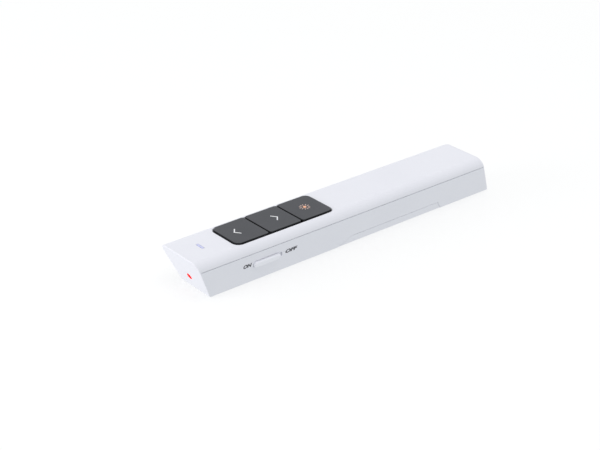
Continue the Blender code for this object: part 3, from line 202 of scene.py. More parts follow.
def slab(name, low, high, front=FORE, rear=AFT):
    """A block right across the case between two levels, over its whole length or a part of it."""
    return box(name, (-WIDE, front, low), (WIDE, rear, high))


def evaluated(piece):
    """A piece's mesh with its modifiers worked in, or the mesh of a text."""
    return bpy.data.meshes.new_from_object(piece.evaluated_get(bpy.context.evaluated_depsgraph_get()))


def carve(piece, cutters, operation="DIFFERENCE"):
    """Cuts the cutters out of a piece, or joins or crosses them with it, and removes them."""
    for cutter in cutters:
        change = piece.modifiers.new("carve", "BOOLEAN")
        change.operation = operation
        change.solver = "EXACT"
        change.object = cutter
    carved = evaluated(piece)
    piece.modifiers.clear()
    piece.data = carved
    for cutter in cutters:
        bpy.data.objects.remove(cutter, do_unlink=True)
    return piece


def case_form(name, inset, nose_wall=0.0, floor=None):
    """The case drawn in by an inset, and at the nose by a wall more, between its two end planes."""
    outline = case_outline(inset, floor)
    return skin(name, (on_end(outline, nose_y, inset + nose_wall), on_end(outline, tail_y, inset)))


def round_over(radius, steps):
    """An edge rounded over a quarter turn: its distances from one face, radius x (1 - sine), and
    from the other, radius x (1 - cosine)."""
    turns = np.linspace(0, QUARTER, steps + 1)
    return radius * (1 - np.sin(turns)), radius * (1 - np.cos(turns))


def rounded_case(name, inset=0.0):
    """The case with its end edges rounded over. The tail's upright corners are rounder: there the
    outline also narrows by the sagitta of a circle at that depth."""
    insets, depths = (inset + step for step in round_over(END_EDGE_RADIUS, END_STEPS))
    nose = [on_end(case_outline(i), nose_y, d) for i, d in zip(insets, depths)]
    corner_depths = np.linspace(END_EDGE_RADIUS, TAIL_CORNER_RADIUS, END_STEPS + 1)[1:] + inset
    tail = []
    for i, d in zip((*insets, *np.full(END_STEPS, inset)), (*depths, *corner_depths)):
        into = max(TAIL_CORNER_RADIUS - (d - inset), 0.0)
        narrowed = TAIL_CORNER_RADIUS - math.sqrt(TAIL_CORNER_RADIUS ** 2 - into ** 2)
        tail.append(on_end(case_outline(i) * (1 - narrowed / half_width(SEAM), 1), tail_y, d))
    return skin(name, nose + tail[::-1])


def nose_mitre(name):
    """All that lies before the mitre, the surface on which the depth behind the nose plane is the
    distance in from the sides plus the end edge's radius."""
    deep = WALL + TINY
    rings = ((-OVERRUN, -2 * OVERRUN), (-OVERRUN, END_EDGE_RADIUS - OVERRUN), (deep, END_EDGE_RADIUS + deep))
    return skin(name, [on_end(case_outline(inset), nose_y, depth) for inset, depth in rings])


def opening_steps(rim):
    """Growth and depth of an opening's cutter, ring by ring: down to the outer face, round the rim
    that is rounded over, and out behind the wall."""
    return [(rim, -OVERRUN), *zip(*round_over(rim, RIM_STEPS)), (0.0, WALL + OVERRUN)]


def stadium(length, height, grow=0.0):
    """A bar's outline with half-round ends, as (along, up) points."""
    radius, straight = height / 2 + grow, (length - height) / 2
    return np.vstack((
        arc((straight, 0), radius, -QUARTER, QUARTER, CORNER_STEPS),
        arc((-straight, 0), radius, QUARTER, 3 * QUARTER, CORNER_STEPS),
    ))


KNOB_Z = 6.9 * MM


def in_side(outline, out, along_centre):
    """An (along, up) outline laid on the leaning side at a distance out of its face: the up
    direction and the outward normal are turned by the side's lean."""
    along, up = outline[:, 0], outline[:, 1]
    x = half_width(KNOB_Z) + out * math.cos(SIDE_LEAN) + up * math.sin(SIDE_LEAN)
    z = KNOB_Z - out * math.sin(SIDE_LEAN) + up * math.cos(SIDE_LEAN)
    return np.column_stack((x, along_centre + along, z))


def side_block(name, low, high, outs, along_centre):
    """A block square to the leaning side, between (along, up) corners and two distances out."""
    return skin(name, [in_side(box_outline(low, high), out, along_centre) for out in outs])


SLOT_LENGTH = 12.4 * MM
SLOT_HEIGHT = 2.75 * MM
SLOT_RIM = 0.08 * MM
SLOT_Y = FLOOR_FRONT + 23.1 * MM
SLOT_WALL = 0.45 * MM
POCKET_FRONT = 7.5 * MM
POCKET_REAR = 8.6 * MM
POCKET_HALF_HEIGHT = 2.5 * MM


def switch_slot():
    """The slot through the side for the knob, with its rim rounded over."""
    return skin("switch_slot", [
        in_side(stadium(SLOT_LENGTH, SLOT_HEIGHT, grow), -depth, SLOT_Y)
        for grow, depth in opening_steps(SLOT_RIM)
    ])


def switch_pocket():
    """A shallow pocket inside the wall round the slot, in which the knob's flange slides."""
    low, high = (-POCKET_FRONT, -POCKET_HALF_HEIGHT), (POCKET_REAR, POCKET_HALF_HEIGHT)
    return side_block("switch_pocket", low, high, (-SLOT_WALL, -WALL - OVERRUN), SLOT_Y)


cover_low, cover_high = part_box("battery_cover")
COVER_GAP = 0.18 * MM
REAR_GAP_SHARE = 0.5
COVER_RISE = 3.0 * MM
COVER_FRONT_RUN = 5.9 * MM
COVER_REAR_RUN = 2.1 * MM


def cover_prism(name, gap):
    """The battery cover's side view, a low trapezoid, carried right across the case."""
    front_slope, rear_slope = (math.atan2(COVER_RISE, run) for run in (COVER_FRONT_RUN, COVER_REAR_RUN))
    front = cover_low.y - gap / math.sin(front_slope)
    rear = cover_high.y + REAR_GAP_SHARE * gap / math.sin(rear_slope)
    low, high = -OVERRUN, COVER_RISE + gap
    side = np.array([
        (front + low / math.tan(front_slope), low), (rear - low / math.tan(rear_slope), low),
        (rear - high / math.tan(rear_slope), high), (front + high / math.tan(front_slope), high),
    ])
    return prism(name, side, (-WIDE, WIDE), axis=0)


RIB = 1.2 * MM
BAY_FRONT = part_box("positive_contact")[0].y - RUNNING_GAP
BAY_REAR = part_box("negative_contact")[1].y + RUNNING_GAP
BULKHEAD_TOP = SEAM - 2.6 * MM
GUIDE_LENGTH = 8.5 * MM
BOSS_RADIUS = 1.7 * MM
BOSS_HEIGHT = 6.0 * MM
RECESS_RADIUS = 1.9 * MM
HEAD_RECESS_DEPTH = 1.2 * MM
CRADLE_HALF = 4.0 * MM
CRADLE_SET = 1.2 * MM
CRADLE_BORE = 3.3 * MM
plug_low, plug_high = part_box("receiver_plug_shell")
cap_low, cap_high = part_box("receiver_cap")
laser_low, laser_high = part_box("laser_barrel")
LASER_Z = (laser_low.z + laser_high.z) / 2
laser_axis = (0, LASER_Z)
screw_low, screw_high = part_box("housing_screw_left")
screw_x, screw_y = (screw_low.x + screw_high.x) / 2, (screw_low.y + screw_high.y) / 2
screw_centres = [(side * screw_x, screw_y) for side in (-1, 1)]


def inner_walls():
    """What stays standing in the tub: the bay's bulkheads, the laser's cradles, the screw posts and
    the receiver's guides."""
    guide_x, guide_y = plug_high.x + RUNNING_GAP, plug_low.y + RIB
    walls = [slab("bulkhead", -OVERRUN, BULKHEAD_TOP, y, y + RIB) for y in (BAY_FRONT - RIB, BAY_REAR)]
    for left, right in ((guide_x, WIDE), (-WIDE, -guide_x)):
        walls.append(box("guide", (left, guide_y, -OVERRUN), (right, guide_y + GUIDE_LENGTH, plug_high.z)))
    for y in (laser_low.y + CRADLE_SET, laser_high.y - CRADLE_SET - RIB):
        cradle = box("cradle", (-CRADLE_HALF, y, -OVERRUN), (CRADLE_HALF, y + RIB, LASER_Z))
        seat = rod("cradle_bore", laser_axis, CRADLE_BORE, y - OVERRUN, y + RIB + OVERRUN, axis=1)
        walls.append(carve(cradle, [seat]))
    return walls + [rod("screw_post", centre, BOSS_RADIUS, -OVERRUN, BOSS_HEIGHT) for centre in screw_centres]


def housing_holes():
    """The knob's slot, the battery cover's place, the receiver's mouth and the screws' recesses."""
    mouth_high = (cap_high.x + RUNNING_GAP, AFT, cap_high.z + RUNNING_GAP)
    mouth = box("mouth", np.array(cap_low) - RUNNING_GAP, mouth_high)
    holes = [switch_slot(), switch_pocket(), cover_prism("cover_place", COVER_GAP), mouth]
    for centre in screw_centres:
        holes.append(rod("head_recess", centre, RECESS_RADIUS, -OVERRUN, HEAD_RECESS_DEPTH))
    return holes


def linear(colour):
    """An sRGB hex colour as linear red, green, blue and alpha."""
    channels = np.array([int(colour[i:i + 2], 16) for i in (1, 3, 5)]) / 255
    light = np.where(channels <= 0.04045, channels / 12.92, ((channels + 0.055) / 1.055) ** 2.4)
    return (*light, 1.0)


def fill(tree, node, inputs):
    """Fills a node's inputs with values or links."""
    for key, value in inputs.items():
        if isinstance(value, bpy.types.NodeSocket):
            tree.links.new(value, node.inputs[key])
        else:
            node.inputs[key].default_value = value


def add(tree, kind, inputs=(), output=0, **settings):
    """Adds a node of a kind with its settings and inputs, and gives back one of its outputs."""
    made = tree.nodes.new(kind)
    for name, value in settings.items():
        setattr(made, name, value)
    fill(tree, made, dict(inputs))
    return made.outputs[output]


def noise(tree, place, width, detail):
    """A noise pattern of a real width."""
    return add(tree, "ShaderNodeTexNoise", {"Vector": place, "Scale": 1 / width, "Detail": detail})


def blend(tree, factor, first, second):
    """Two colours mixed by a factor."""
    return add(tree, "ShaderNodeMix", {"Factor": factor, "A": first, "B": second}, "Result", data_type="RGBA")


def ranged(tree, value, least, most, side="To"):
    """A 0 to 1 value carried to a range or, with From as the side, a range carried to 0 to 1."""
    limits = {"Value": value, f"{side} Min": least, f"{side} Max": most}
    return add(tree, "ShaderNodeMapRange", limits)


FINE_DETAIL = 3.0
SLOW_DETAIL = 2.0
GLOSS_SPREAD = 0.05


def new_material(name, roughness, inputs):
    """A material with its shader's constant inputs, and the object's coordinates."""
    material = bpy.data.materials.new(name)
    material.use_nodes = True
    tree = material.node_tree
    shader = tree.nodes["Principled BSDF"]
    fill(tree, shader, {"Roughness": roughness, **inputs})
    return material, tree, shader, add(tree, "ShaderNodeTexCoord", output="Object")


def grainy(name, colour, shade, roughness, grain, bump, patch, inputs={}):
    """A moulded or cast surface: a fine even grain in the height, and slow patches of a slightly
    darker shade and of roughness. Grain and patch are the pattern's real widths in mm."""
    material, tree, shader, place = new_material(name, roughness, inputs)
    fine = noise(tree, place, grain * MM, FINE_DETAIL)
    slow = noise(tree, place, patch * MM, SLOW_DETAIL)
    height = add(tree, "ShaderNodeBump", {"Height": fine, "Strength": bump, "Distance": grain * MM / 4})
    fill(tree, shader, {
        "Base Color": blend(tree, slow, linear(colour), linear(shade)),
        "Roughness": ranged(tree, slow, roughness - GLOSS_SPREAD, roughness + GLOSS_SPREAD),
        "Normal": height,
    })
    return material


def glowing(colour, strength):
    """The inputs of a surface that glows."""
    return {"Emission Color": linear(colour), "Emission Strength": strength}


def dress(piece, material):
    """Gives a piece its only material."""
    piece.data.materials.clear()
    piece.data.materials.append(material)


def fitted(piece, material, *stands_for, body="case", angle=35):
    """Dresses a piece, shades it smooth up to an edge angle, sets it on its body, and hides the
    nodes that it stands for."""
    dress(piece, material)
    if angle:
        piece.data.shade_smooth()
        piece.data.set_sharp_from_angle(angle=math.radians(angle))
        piece.modifiers.new("even shading", "WEIGHTED_NORMAL").keep_sharp = True
    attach(piece, body)
    if stands_for:
        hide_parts(*stands_for)
    return piece


# Spark-eroded ABS: satin, with a grain of about 0.15 mm that is drawn at 0.3 mm so that it shows.
satin = {"Specular IOR Level": 0.35}
moulded_abs = grainy("white_moulded_abs", "#EAEAF1", "#E5E5ED", 0.5, 0.3, 0.12, 18, satin)

housing = rounded_case("bottom_housing_shell")
carve(housing, [slab("over_seam", SEAM, ABOVE)])
lip = case_form("lip", LIP_INSET, WALL)
carve(lip, [slab("over_lip", SEAM + LIP_HEIGHT, ABOVE), slab("under_lip", -OVERRUN, SEAM - WALL)])
carve(housing, [lip], "UNION")
carve(housing, [carve(case_form("tub", WALL), inner_walls())])
carve(housing, [nose_mitre("mitre"), *housing_holes()])
fitted(housing, moulded_abs, "bottom_housing", angle=30)

# Top cover. The same white ABS in one moulding: the flat top, the rounded long edges, the tail's
# upper edge and the whole slanted nose face. Openings in it have softly rounded rims.

KEYS = ("previous", "next", "laser")
SEAM_GAP = 0.22 * MM
REBATE_INSET = 0.7 * MM
KEY_CLEARANCE = 0.45 * MM
FAR_CLEARANCE = 0.28 * MM
KEY_OUTER_RADIUS = 2.2 * MM
KEY_INNER_RADIUS = 0.9 * MM
KEY_RIM = 0.2 * MM
EXIT_RADIUS = 1.1 * MM
EXIT_RIM = 0.15 * MM
EXIT_REACH = 5 * WALL
LENS_RIM = 0.12 * MM
LENS_CORNER = 0.42 * MM
PRESS_GAP = 0.1 * MM
lens_low, lens_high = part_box("indicator_lens")
lens_middle = np.array((0, (lens_low.y + lens_high.y) / 2))
lens_half = np.array((3.6, 0.9)) * MM / 2


def span(node):
    """A node's box as arrays of its lowest and highest corner."""
    return (np.array(corner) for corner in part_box(node))


def rounded_outline(low, high, radii):
    """A rectangle with round corners, as (x, y) points, with one radius or a front and a rear one."""
    front, rear = np.broadcast_to(radii, 2)
    return np.vstack((
        arc((high[0] - front, low[1] + front), front, -QUARTER, 0, CORNER_STEPS),
        arc((high[0] - rear, high[1] - rear), rear, 0, QUARTER, CORNER_STEPS),
        arc((low[0] + rear, high[1] - rear), rear, QUARTER, 2 * QUARTER, CORNER_STEPS),
        arc((low[0] + front, low[1] + front), front, 2 * QUARTER, 3 * QUARTER, CORNER_STEPS),
    ))


def top_opening(name, low, high, radius, rim):
    """A cutter for a hole in the flat top whose rim is rounded over."""
    return skin(name, [
        laid(rounded_outline(low - grow, high + grow, radius + grow), HEIGHT - depth)
        for grow, depth in opening_steps(rim)
    ])


def keypad_opening():
    """One opening for all the keys: their common outline grown by the clearance round them, which
    is less on the far side."""
    low = np.array(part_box("key_previous")[0][:2]) - (FAR_CLEARANCE, KEY_CLEARANCE)
    high = np.array(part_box("key_laser")[1][:2]) + KEY_CLEARANCE
    return top_opening("keypad_opening", low, high, KEY_OUTER_RADIUS + KEY_CLEARANCE, KEY_RIM)


def exit_hole():
    """A round hole along the case, with its rim rounded in the slanted nose plane."""
    return skin("exit_hole", [
        on_end(disc(laser_axis, EXIT_RADIUS + grow), nose_y, depth) for grow, depth in opening_steps(EXIT_RIM)
    ])


def rows_of(items, attribute):
    """An attribute of a mesh's points or faces, in rows of three."""
    values = np.empty(len(items) * 3)
    items.foreach_get(attribute, values)
    return values.reshape(-1, 3)


cover = rounded_case("top_cover_shell")
under = carve(slab("under_cover", -OVERRUN, SEAM + SEAM_GAP), [nose_mitre("nose_panel")])
rebate = case_form("rebate", REBATE_INSET, WALL)
carve(rebate, [slab("over_rebate", SEAM + LIP_HEIGHT + RUNNING_GAP, ABOVE)])
slot_half = lens_half + PRESS_GAP
lens_slot = top_opening("lens_slot", lens_middle - slot_half, lens_middle + slot_half, LENS_CORNER, LENS_RIM)
carve(cover, [keypad_opening(), lens_slot, under, exit_hole(), case_form("ceiling", WALL), rebate])
fitted(cover, moulded_abs, "top_cover", angle=30)

# The exit's wall is lit red by the laser behind it.
red_light = glowing("#FF0C06", 0.85)
lit_abs = grainy("white_abs_in_red_light", "#B01008", "#A60C06", 0.5, 0.3, 0.12, 2, red_light)
cover.data.materials.append(lit_abs)
x, y, z = rows_of(cover.data.polygons, "center").T
in_exit = (np.hypot(x, z - LASER_Z) < EXIT_RADIUS + TINY) & (y < nose_y(HEIGHT) + EXIT_REACH)
cover.data.polygons.foreach_set("material_index", in_exit.astype(int))

# Battery cover. A thin moulding of the same ABS that closes the cell's bay from below and wraps a
# little way up both sides. A shallow nail recess near its rear end opens it.

COVER_WALL = 1.4 * MM
COVER_RECESS = 0.1 * MM
RAIL_RISE = 1.2 * MM
RAIL_WALL = 0.7 * MM
RAIL_END_SET = 2.0 * MM
NAIL_RADIUS = 4.0 * MM
NAIL_DEPTH = 0.5 * MM
NAIL_SET = 4.0 * MM

battery_cover = rounded_case("battery_cover_shell", COVER_RECESS)
carve(battery_cover, [cover_prism("cover_outline", 0.0)], "INTERSECT")
rails = case_form("rails", WALL + RUNNING_GAP, floor=COVER_RECESS + COVER_WALL - TINY)
carve(rails, [
    slab("over_rails", COVER_RISE + RAIL_RISE, ABOVE),
    slab("before_rails", -OVERRUN, ABOVE, rear=cover_low.y + COVER_FRONT_RUN + RAIL_END_SET),
    slab("behind_rails", -OVERRUN, ABOVE, front=cover_high.y - COVER_REAR_RUN - RAIL_END_SET),
])
carve(battery_cover, [rails], "UNION")
nail_y = cover_high.y - NAIL_SET
nail = rod("nail", (0, nail_y), NAIL_RADIUS, -OVERRUN, COVER_RECESS + NAIL_DEPTH)
carve(nail, [slab("nail_half", -2 * OVERRUN, HEIGHT, nail_y, nail_y + 2 * NAIL_RADIUS)])
inside = case_form("cover_inside", WALL + RUNNING_GAP + RAIL_WALL, floor=COVER_RECESS + COVER_WALL)
carve(battery_cover, [inside, nail])
fitted(battery_cover, moulded_abs, "battery_cover", body="cover", angle=30)

# Keys. Caps of black ABS with a matt grey coat on their tops and rounded upper edges; the near black
# of their sides is partly that ABS and partly painted shade. Each stands on a block that passes
# through the cover and ends in wings that hold it in.

KEY_EDGE = 0.2 * MM
KEY_BLOCK_INSET = 1.8 * MM
WING_WIDTH = 0.8 * MM
WING_HEIGHT = 0.8 * MM
KEY_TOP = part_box("key_next")[1].z
CAP_BOTTOM = HEIGHT - 1.1 * MM
MARK_HEIGHT = 0.03 * MM
COAT_EDGE = 0.06 * MM
COAT_FADE = 0.06 * MM


def two_tone(material, axis, start, end, colour):
    """Gives a material another colour before a place on an axis, with a blur from start to end."""
    tree = material.node_tree
    shader = tree.nodes["Principled BSDF"]
    place = add(tree, "ShaderNodeTexCoord", output="Object")
    along = add(tree, "ShaderNodeSeparateXYZ", {"Vector": place}, axis)
    beyond = shader.inputs["Base Color"].links[0].from_socket
    share = ranged(tree, along, start, end, side="From")
    fill(tree, shader, {"Base Color": blend(tree, share, linear(colour), beyond)})


# Matt soft-touch coat: grey with a grain of 0.25 mm. It ends on the rounded edge; below it the sides
# are near black, partly uncoated black ABS and partly painted shade, which draws the dark line round each
# key.
matt = {"Specular IOR Level": 0.25}
key_coat_and_side_shade = grainy("grey_coat_and_painted_side_shade", "#525357", "#4E4F53", 0.7, 0.25, 0.2, 9, matt)
two_tone(key_coat_and_side_shade, "Z", KEY_TOP - COAT_EDGE - COAT_FADE, KEY_TOP - COAT_EDGE, "#1D1E21")

for name in KEYS:
    low, high = span(f"key_{name}")
    radii = np.array([KEY_OUTER_RADIUS if name == end else KEY_INNER_RADIUS for end in (KEYS[0], KEYS[-1])])
    rings = [laid(rounded_outline(low[:2], high[:2], radii), CAP_BOTTOM)]
    for drop, shrink in zip(*round_over(KEY_EDGE, RIM_STEPS + 2)):
        outline = rounded_outline(low[:2] + shrink, high[:2] - shrink, radii - shrink)
        rings.append(laid(outline, KEY_TOP - MARK_HEIGHT - drop))
    key = skin(f"key_{name}_cap", rings)
    stem_low, stem_high = low[:2] + KEY_BLOCK_INSET, high[:2] - KEY_BLOCK_INSET
    stem = box("stem", (*stem_low, low[2]), (*stem_high, CAP_BOTTOM + MARK_HEIGHT))
    wing = np.array((WING_WIDTH, -TINY))
    wings = box("wings", (*(stem_low - wing), low[2]), (*(stem_high + wing), low[2] + WING_HEIGHT))
    carve(key, [stem, wings], "UNION")
    fitted(key, key_coat_and_side_shade, f"key_{name}", body=f"{name}_key", angle=40)

# Key marks. Pad-printed ink on the keys: two white chevrons and a burst of rays round a dot.

CHEVRON_DEPTH = 1.5 * MM
CHEVRON_HALF_WIDTH = 1.92 * MM
STROKE = 0.4 * MM
MARK_SINK = 0.15 * MM
PREVIOUS_MARK_Y = FLOOR_FRONT + 17.0 * MM
NEXT_MARK_Y = FLOOR_FRONT + 33.85 * MM
BURST_Y = FLOOR_FRONT + 46.72 * MM
DOT_RADIUS = 0.62 * MM
DOT_SIDES = 32
RAY_INNER = 1.15 * MM
RAY_OUTER = 2.0 * MM
RAY_WIDTH = 0.26 * MM
RAYS = 11


def printed(name, outline, body, ink):
    """A flat mark on a key: an (x, y) outline filled to the print's thickness."""
    mark = prism(name, outline, (KEY_TOP - MARK_SINK, KEY_TOP))
    fitted(mark, ink, body=body, angle=None)


def chevron(point_y, direction):
    """The outline of two strokes that meet in a point: the path's points moved to both sides by
    half the stroke, with a mitre at the point."""
    lean = math.atan2(CHEVRON_HALF_WIDTH, CHEVRON_DEPTH)
    tip = np.array((CHEVRON_HALF_WIDTH, CHEVRON_DEPTH))
    side = STROKE / 2 * np.array((math.cos(lean), -math.sin(lean)))
    mitre = STROKE / 2 / math.sin(lean)
    right = np.array([(0, -mitre), tip + side, tip - side, (0, mitre)])
    return np.vstack((right, right[2:0:-1] * (-1, 1))) * (1, direction) + (0, point_y)


white_ink = grainy("white_pad_print_ink", "#F2F2F4", "#E6E6EA", 0.5, 0.2, 0.05, 2)
orange_ink = grainy("orange_pad_print_ink", "#FFC3A0", "#FFAE86", 0.5, 0.2, 0.05, 1)
pink_ink = grainy("pale_pink_pad_print_ink", "#E6CBC2", "#C9A79C", 0.5, 0.2, 0.05, 0.8)

printed("mark_previous", chevron(PREVIOUS_MARK_Y - CHEVRON_DEPTH / 2, 1), "previous_key", white_ink)
printed("mark_next", chevron(NEXT_MARK_Y + CHEVRON_DEPTH / 2, -1), "next_key", white_ink)
printed("mark_laser_dot", disc((0, BURST_Y), DOT_RADIUS, DOT_SIDES), "laser_key", orange_ink)
for ray in range(RAYS):
    cosine, sine = math.cos(2 * math.pi * ray / RAYS), math.sin(2 * math.pi * ray / RAYS)
    bar = box_outline((RAY_INNER, -RAY_WIDTH / 2), (RAY_OUTER, RAY_WIDTH / 2))
    turned_bar = bar @ np.array(((cosine, sine), (-sine, cosine))) + (0, BURST_Y)
    printed(f"mark_laser_ray_{ray}", turned_bar, "laser_key", pink_ink)

# Power switch. A white ABS knob with half-round ends in the side's slot. Inside, its flange holds
# the lever of a small slide switch soldered under the board.

KNOB_LENGTH = 11.2 * MM
KNOB_HEIGHT = 2.3 * MM
KNOB_STAND = 0.88 * MM
KNOB_CROWN = 0.5 * MM
KNOB_FORWARD = 0.45 * MM
KNOB_STEPS = 9
FLANGE_THICKNESS = 0.9 * MM
FLANGE_LAP = 1.0 * MM
FLANGE_LOW = -4.0 * MM
PAD_HALF_HEIGHT = 2.1 * MM
PAD_REAR_LAP = 1.8 * MM
PAD_GAP = 0.15 * MM
LEVER_PLAY = 0.45 * MM

lever_low, lever_high = span("slide_switch_lever")
knob_y = (lever_low[1] + lever_high[1]) / 2 - KNOB_FORWARD
flange_out = -WALL - RUNNING_GAP - FLANGE_THICKNESS
rings = [in_side(stadium(KNOB_LENGTH, KNOB_HEIGHT), flange_out + TINY, knob_y)]
for drop, shrink in zip(*round_over(KNOB_CROWN, KNOB_STEPS)):
    rings.append(in_side(stadium(KNOB_LENGTH, KNOB_HEIGHT, -shrink), KNOB_STAND - drop, knob_y))
knob = skin("power_knob", rings)
lap = KNOB_LENGTH / 2 + FLANGE_LAP
pad_rear = KNOB_LENGTH / 2 + PAD_REAR_LAP
carve(knob, [side_block("flange", low, high, outs, knob_y) for low, high, outs in (
    ((-lap, FLANGE_LOW), (lap, KNOB_HEIGHT / 2 + FLANGE_LAP), (flange_out, flange_out + FLANGE_THICKNESS)),
    ((-lap, -PAD_HALF_HEIGHT), (pad_rear, PAD_HALF_HEIGHT), (flange_out + TINY, -SLOT_WALL - PAD_GAP)),
)], "UNION")
carve(knob, [box(
    "lever_hole", (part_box("switch_knob")[0].x - OVERRUN, *(lever_low - LEVER_PLAY)[1:]),
    (half_width(KNOB_Z) - WALL, *(lever_high + LEVER_PLAY)[1:]),
)])

# The knob is the same ABS from a polished mould, so its rounded edges catch the light. Its colour is a
# little lighter than the case's, painted light for the brighter look of the knob that stands proud.
knob_abs_painted_lighter = grainy("white_polished_abs", "#F0F0F7", "#EBEBF3", 0.24, 0.3, 0.03, 6)
fitted(knob, knob_abs_painted_lighter, "switch_knob", body="power_switch", angle=40)

# Lettering beside the knob. Dark grey pad print in slanted capitals, read from the side.

LETTER_HEIGHT = 1.55 * MM
LETTER_SHEAR = 0.12
LETTER_WEIGHT = 0.05
LETTER_THICKNESS = 0.06 * MM
LETTER_UP = 0.55 * MM
ON_Y = FLOOR_FRONT + 14.4 * MM
OFF_Y = FLOOR_FRONT + 33.1 * MM
ON_WIDTH = 3.4 * MM
OFF_WIDTH = 5.1 * MM

grey_ink = grainy("grey_pad_print_ink", "#3A3A41", "#45454C", 0.5, 0.2, 0.05, 1)
for words, centre_y, width in (("ON", ON_Y, ON_WIDTH), ("OFF", OFF_Y, OFF_WIDTH)):
    name = f"lettering_{words.lower()}"
    letters = bpy.data.curves.new(name, "FONT")
    letters.body = words
    letters.shear = LETTER_SHEAR
    letters.extrude = letters.offset = LETTER_WEIGHT
    text = linked(name, letters)
    mesh = evaluated(text)
    bpy.data.objects.remove(text, do_unlink=True)
    points = rows_of(mesh.vertices, "co")
    low, high = points.min(axis=0), points.max(axis=0)
    along, up, out = ((points - low) / (high - low) - (0.5, 0.5, 1.0)).T
    flat = in_side(np.column_stack((along * width, LETTER_UP + up * LETTER_HEIGHT)), 0.0, centre_y)
    normal = np.array((math.cos(SIDE_LEAN), 0, -math.sin(SIDE_LEAN)))
    placed = flat + normal * (out[:, None] + 0.5) * LETTER_THICKNESS
    mesh.vertices.foreach_set("co", placed.ravel())
    turn_out(mesh)
    fitted(linked(name, mesh), grey_ink, angle=None)

# Indicator. A clear acrylic light guide fills the narrow slot near the nose. Its collar stops under
# the cover, and its arm runs across to a small surface-mount lamp on the board.

EDGE_STEPS = 4
ARM_HEIGHT = 1.2 * MM
COLLAR_LAP = 0.8 * MM
COLLAR_HEIGHT = 0.8 * MM
GUIDE_EDGE = 0.08 * MM
LAMP_BASE = 0.5 * MM
LAMP_END = 0.4 * MM
PLATED = 0.03 * MM
BOARD_BOTTOM, BOARD_TOP = (corner.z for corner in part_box("main_board"))


def clear_plastic(name, colour, roughness, ior, transmission, inputs={}):
    """A clear moulding: tinted, mostly see-through, with a faint unevenness in its gloss."""
    inputs = {"Base Color": linear(colour), "IOR": ior, "Transmission Weight": transmission, **inputs}
    material, tree, shader, place = new_material(name, roughness, inputs)
    slow = noise(tree, place, 2 * MM, SLOW_DETAIL)
    fill(tree, shader, {"Roughness": ranged(tree, slow, roughness * 0.8, roughness * 1.3)})
    return material


def metal(name, colour, shade, roughness, grain, stretch=(1, 1, 1)):
    """Plated, turned or drawn metal: fine streaks that vary its colour and roughness. Grain is
    their real width in mm, and stretch packs them closer along an axis or draws them out."""
    material, tree, shader, place = new_material(name, roughness, {"Metallic": 1.0})
    along = add(tree, "ShaderNodeMapping", {"Vector": place, "Scale": stretch})
    streaks = noise(tree, along, grain * MM, FINE_DETAIL)
    fill(tree, shader, {
        "Base Color": blend(tree, streaks, linear(colour), linear(shade)),
        "Roughness": ranged(tree, streaks, roughness * 0.7, roughness * 1.4),
    })
    return material


def soft_block(name, low, high, radii, axis=2):
    """A block between two corners. Across an axis its outline has round corners, and at both ends
    of the axis it is rounded over. The radii are the corner's and the edge's, in mm."""
    low, high = np.array(low), np.array(high)
    corner, edge = np.array(radii) * MM
    across = [i for i in range(3) if i != axis]
    insets, depths = round_over(edge, EDGE_STEPS)
    places = (*(low[axis] + depths), *(high[axis] - depths[::-1]))
    return skin(name, [
        laid(rounded_outline(low[across] + inset, high[across] - inset, corner - inset), place, axis)
        for inset, place in zip((*insets, *insets[::-1]), places)
    ])


def block_on(name, middle, half, low, high, radii, axis=2):
    """A soft block about an (x, y) middle with half sizes, between two levels."""
    (x, y), (a, b) = middle[:2], half[:2]
    return soft_block(name, (x - a, y - b, low), (x + a, y + b, high), radii, axis)


def middle_of(node):
    """A node's box as its middle and its half sizes."""
    low, high = span(node)
    return (low + high) / 2, (high - low) / 2


def merged(name, pieces):
    """Several separate closed shapes as one piece."""
    shape = bmesh.new()
    for piece in pieces:
        shape.from_mesh(piece.data)
        bpy.data.objects.remove(piece, do_unlink=True)
    mesh = bpy.data.meshes.new(name)
    shape.to_mesh(mesh)
    shape.free()
    return linked(name, mesh)


frosted_acrylic = clear_plastic("pale_blue_acrylic", "#CFD2F6", 0.3, 1.49, 0.1)
lamp_epoxy = clear_plastic("lamp_epoxy", "#E6ECFF", 0.2, 1.52, 0.2)
nickel = metal("nickel_plated_steel", "#CFCFCD", "#B4B4B2", 0.3, 0.4, (1, 0.15, 1))
white_resin = grainy("white_moulded_resin", "#E9E8E2", "#DEDDD6", 0.5, 0.15, 0.1, 2)

guide_radii = np.array((LENS_CORNER, GUIDE_EDGE)) / MM
guide = block_on("indicator_light_guide", lens_middle, lens_half, lens_low.z, lens_high.z, guide_radii)
arm_half = lens_half[1] - TINY
arm = soft_block(
    "arm", (LENS_CORNER - lens_half[0], lens_middle[1] - arm_half, lens_low.z + TINY),
    (lens_high.x, lens_middle[1] + arm_half, lens_low.z + ARM_HEIGHT), (0.3, 0.1),
)
collar_top = HEIGHT - WALL - RUNNING_GAP
collar = block_on(
    "collar", lens_middle, lens_half + COLLAR_LAP, collar_top - COLLAR_HEIGHT, collar_top, (0.5, 0.1)
)
carve(guide, [arm, collar], "UNION")
fitted(guide, frosted_acrylic, "indicator_lens")

middle, half = middle_of("indicator_led")
low, high = (corner.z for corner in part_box("indicator_led"))
lamp_base = block_on("indicator_lamp_base", middle, half, BOARD_TOP + PLATED, low + LAMP_BASE, (0.1, 0.05))
fitted(lamp_base, white_resin)
lens_reach = half - (LAMP_END, PLATED, 0)
lamp_body = block_on("indicator_lamp_lens", middle, lens_reach, low + LAMP_BASE, high, (0.2, 0.15))
fitted(lamp_body, lamp_epoxy, "indicator_led")
ends = [block_on(
    "end", (middle[0] + out * (half[0] - LAMP_END / 2), middle[1]), (LAMP_END / 2 + PLATED, half[1] + PLATED),
    BOARD_TOP, low + LAMP_BASE / 2, (0.1, 0.03),
) for out in (-1, 1)]
fitted(merged("indicator_lamp_ends", ends), nickel)

# Keypad mat. Dark silicone sheet under the keys, seen as the black floor of the grooves.

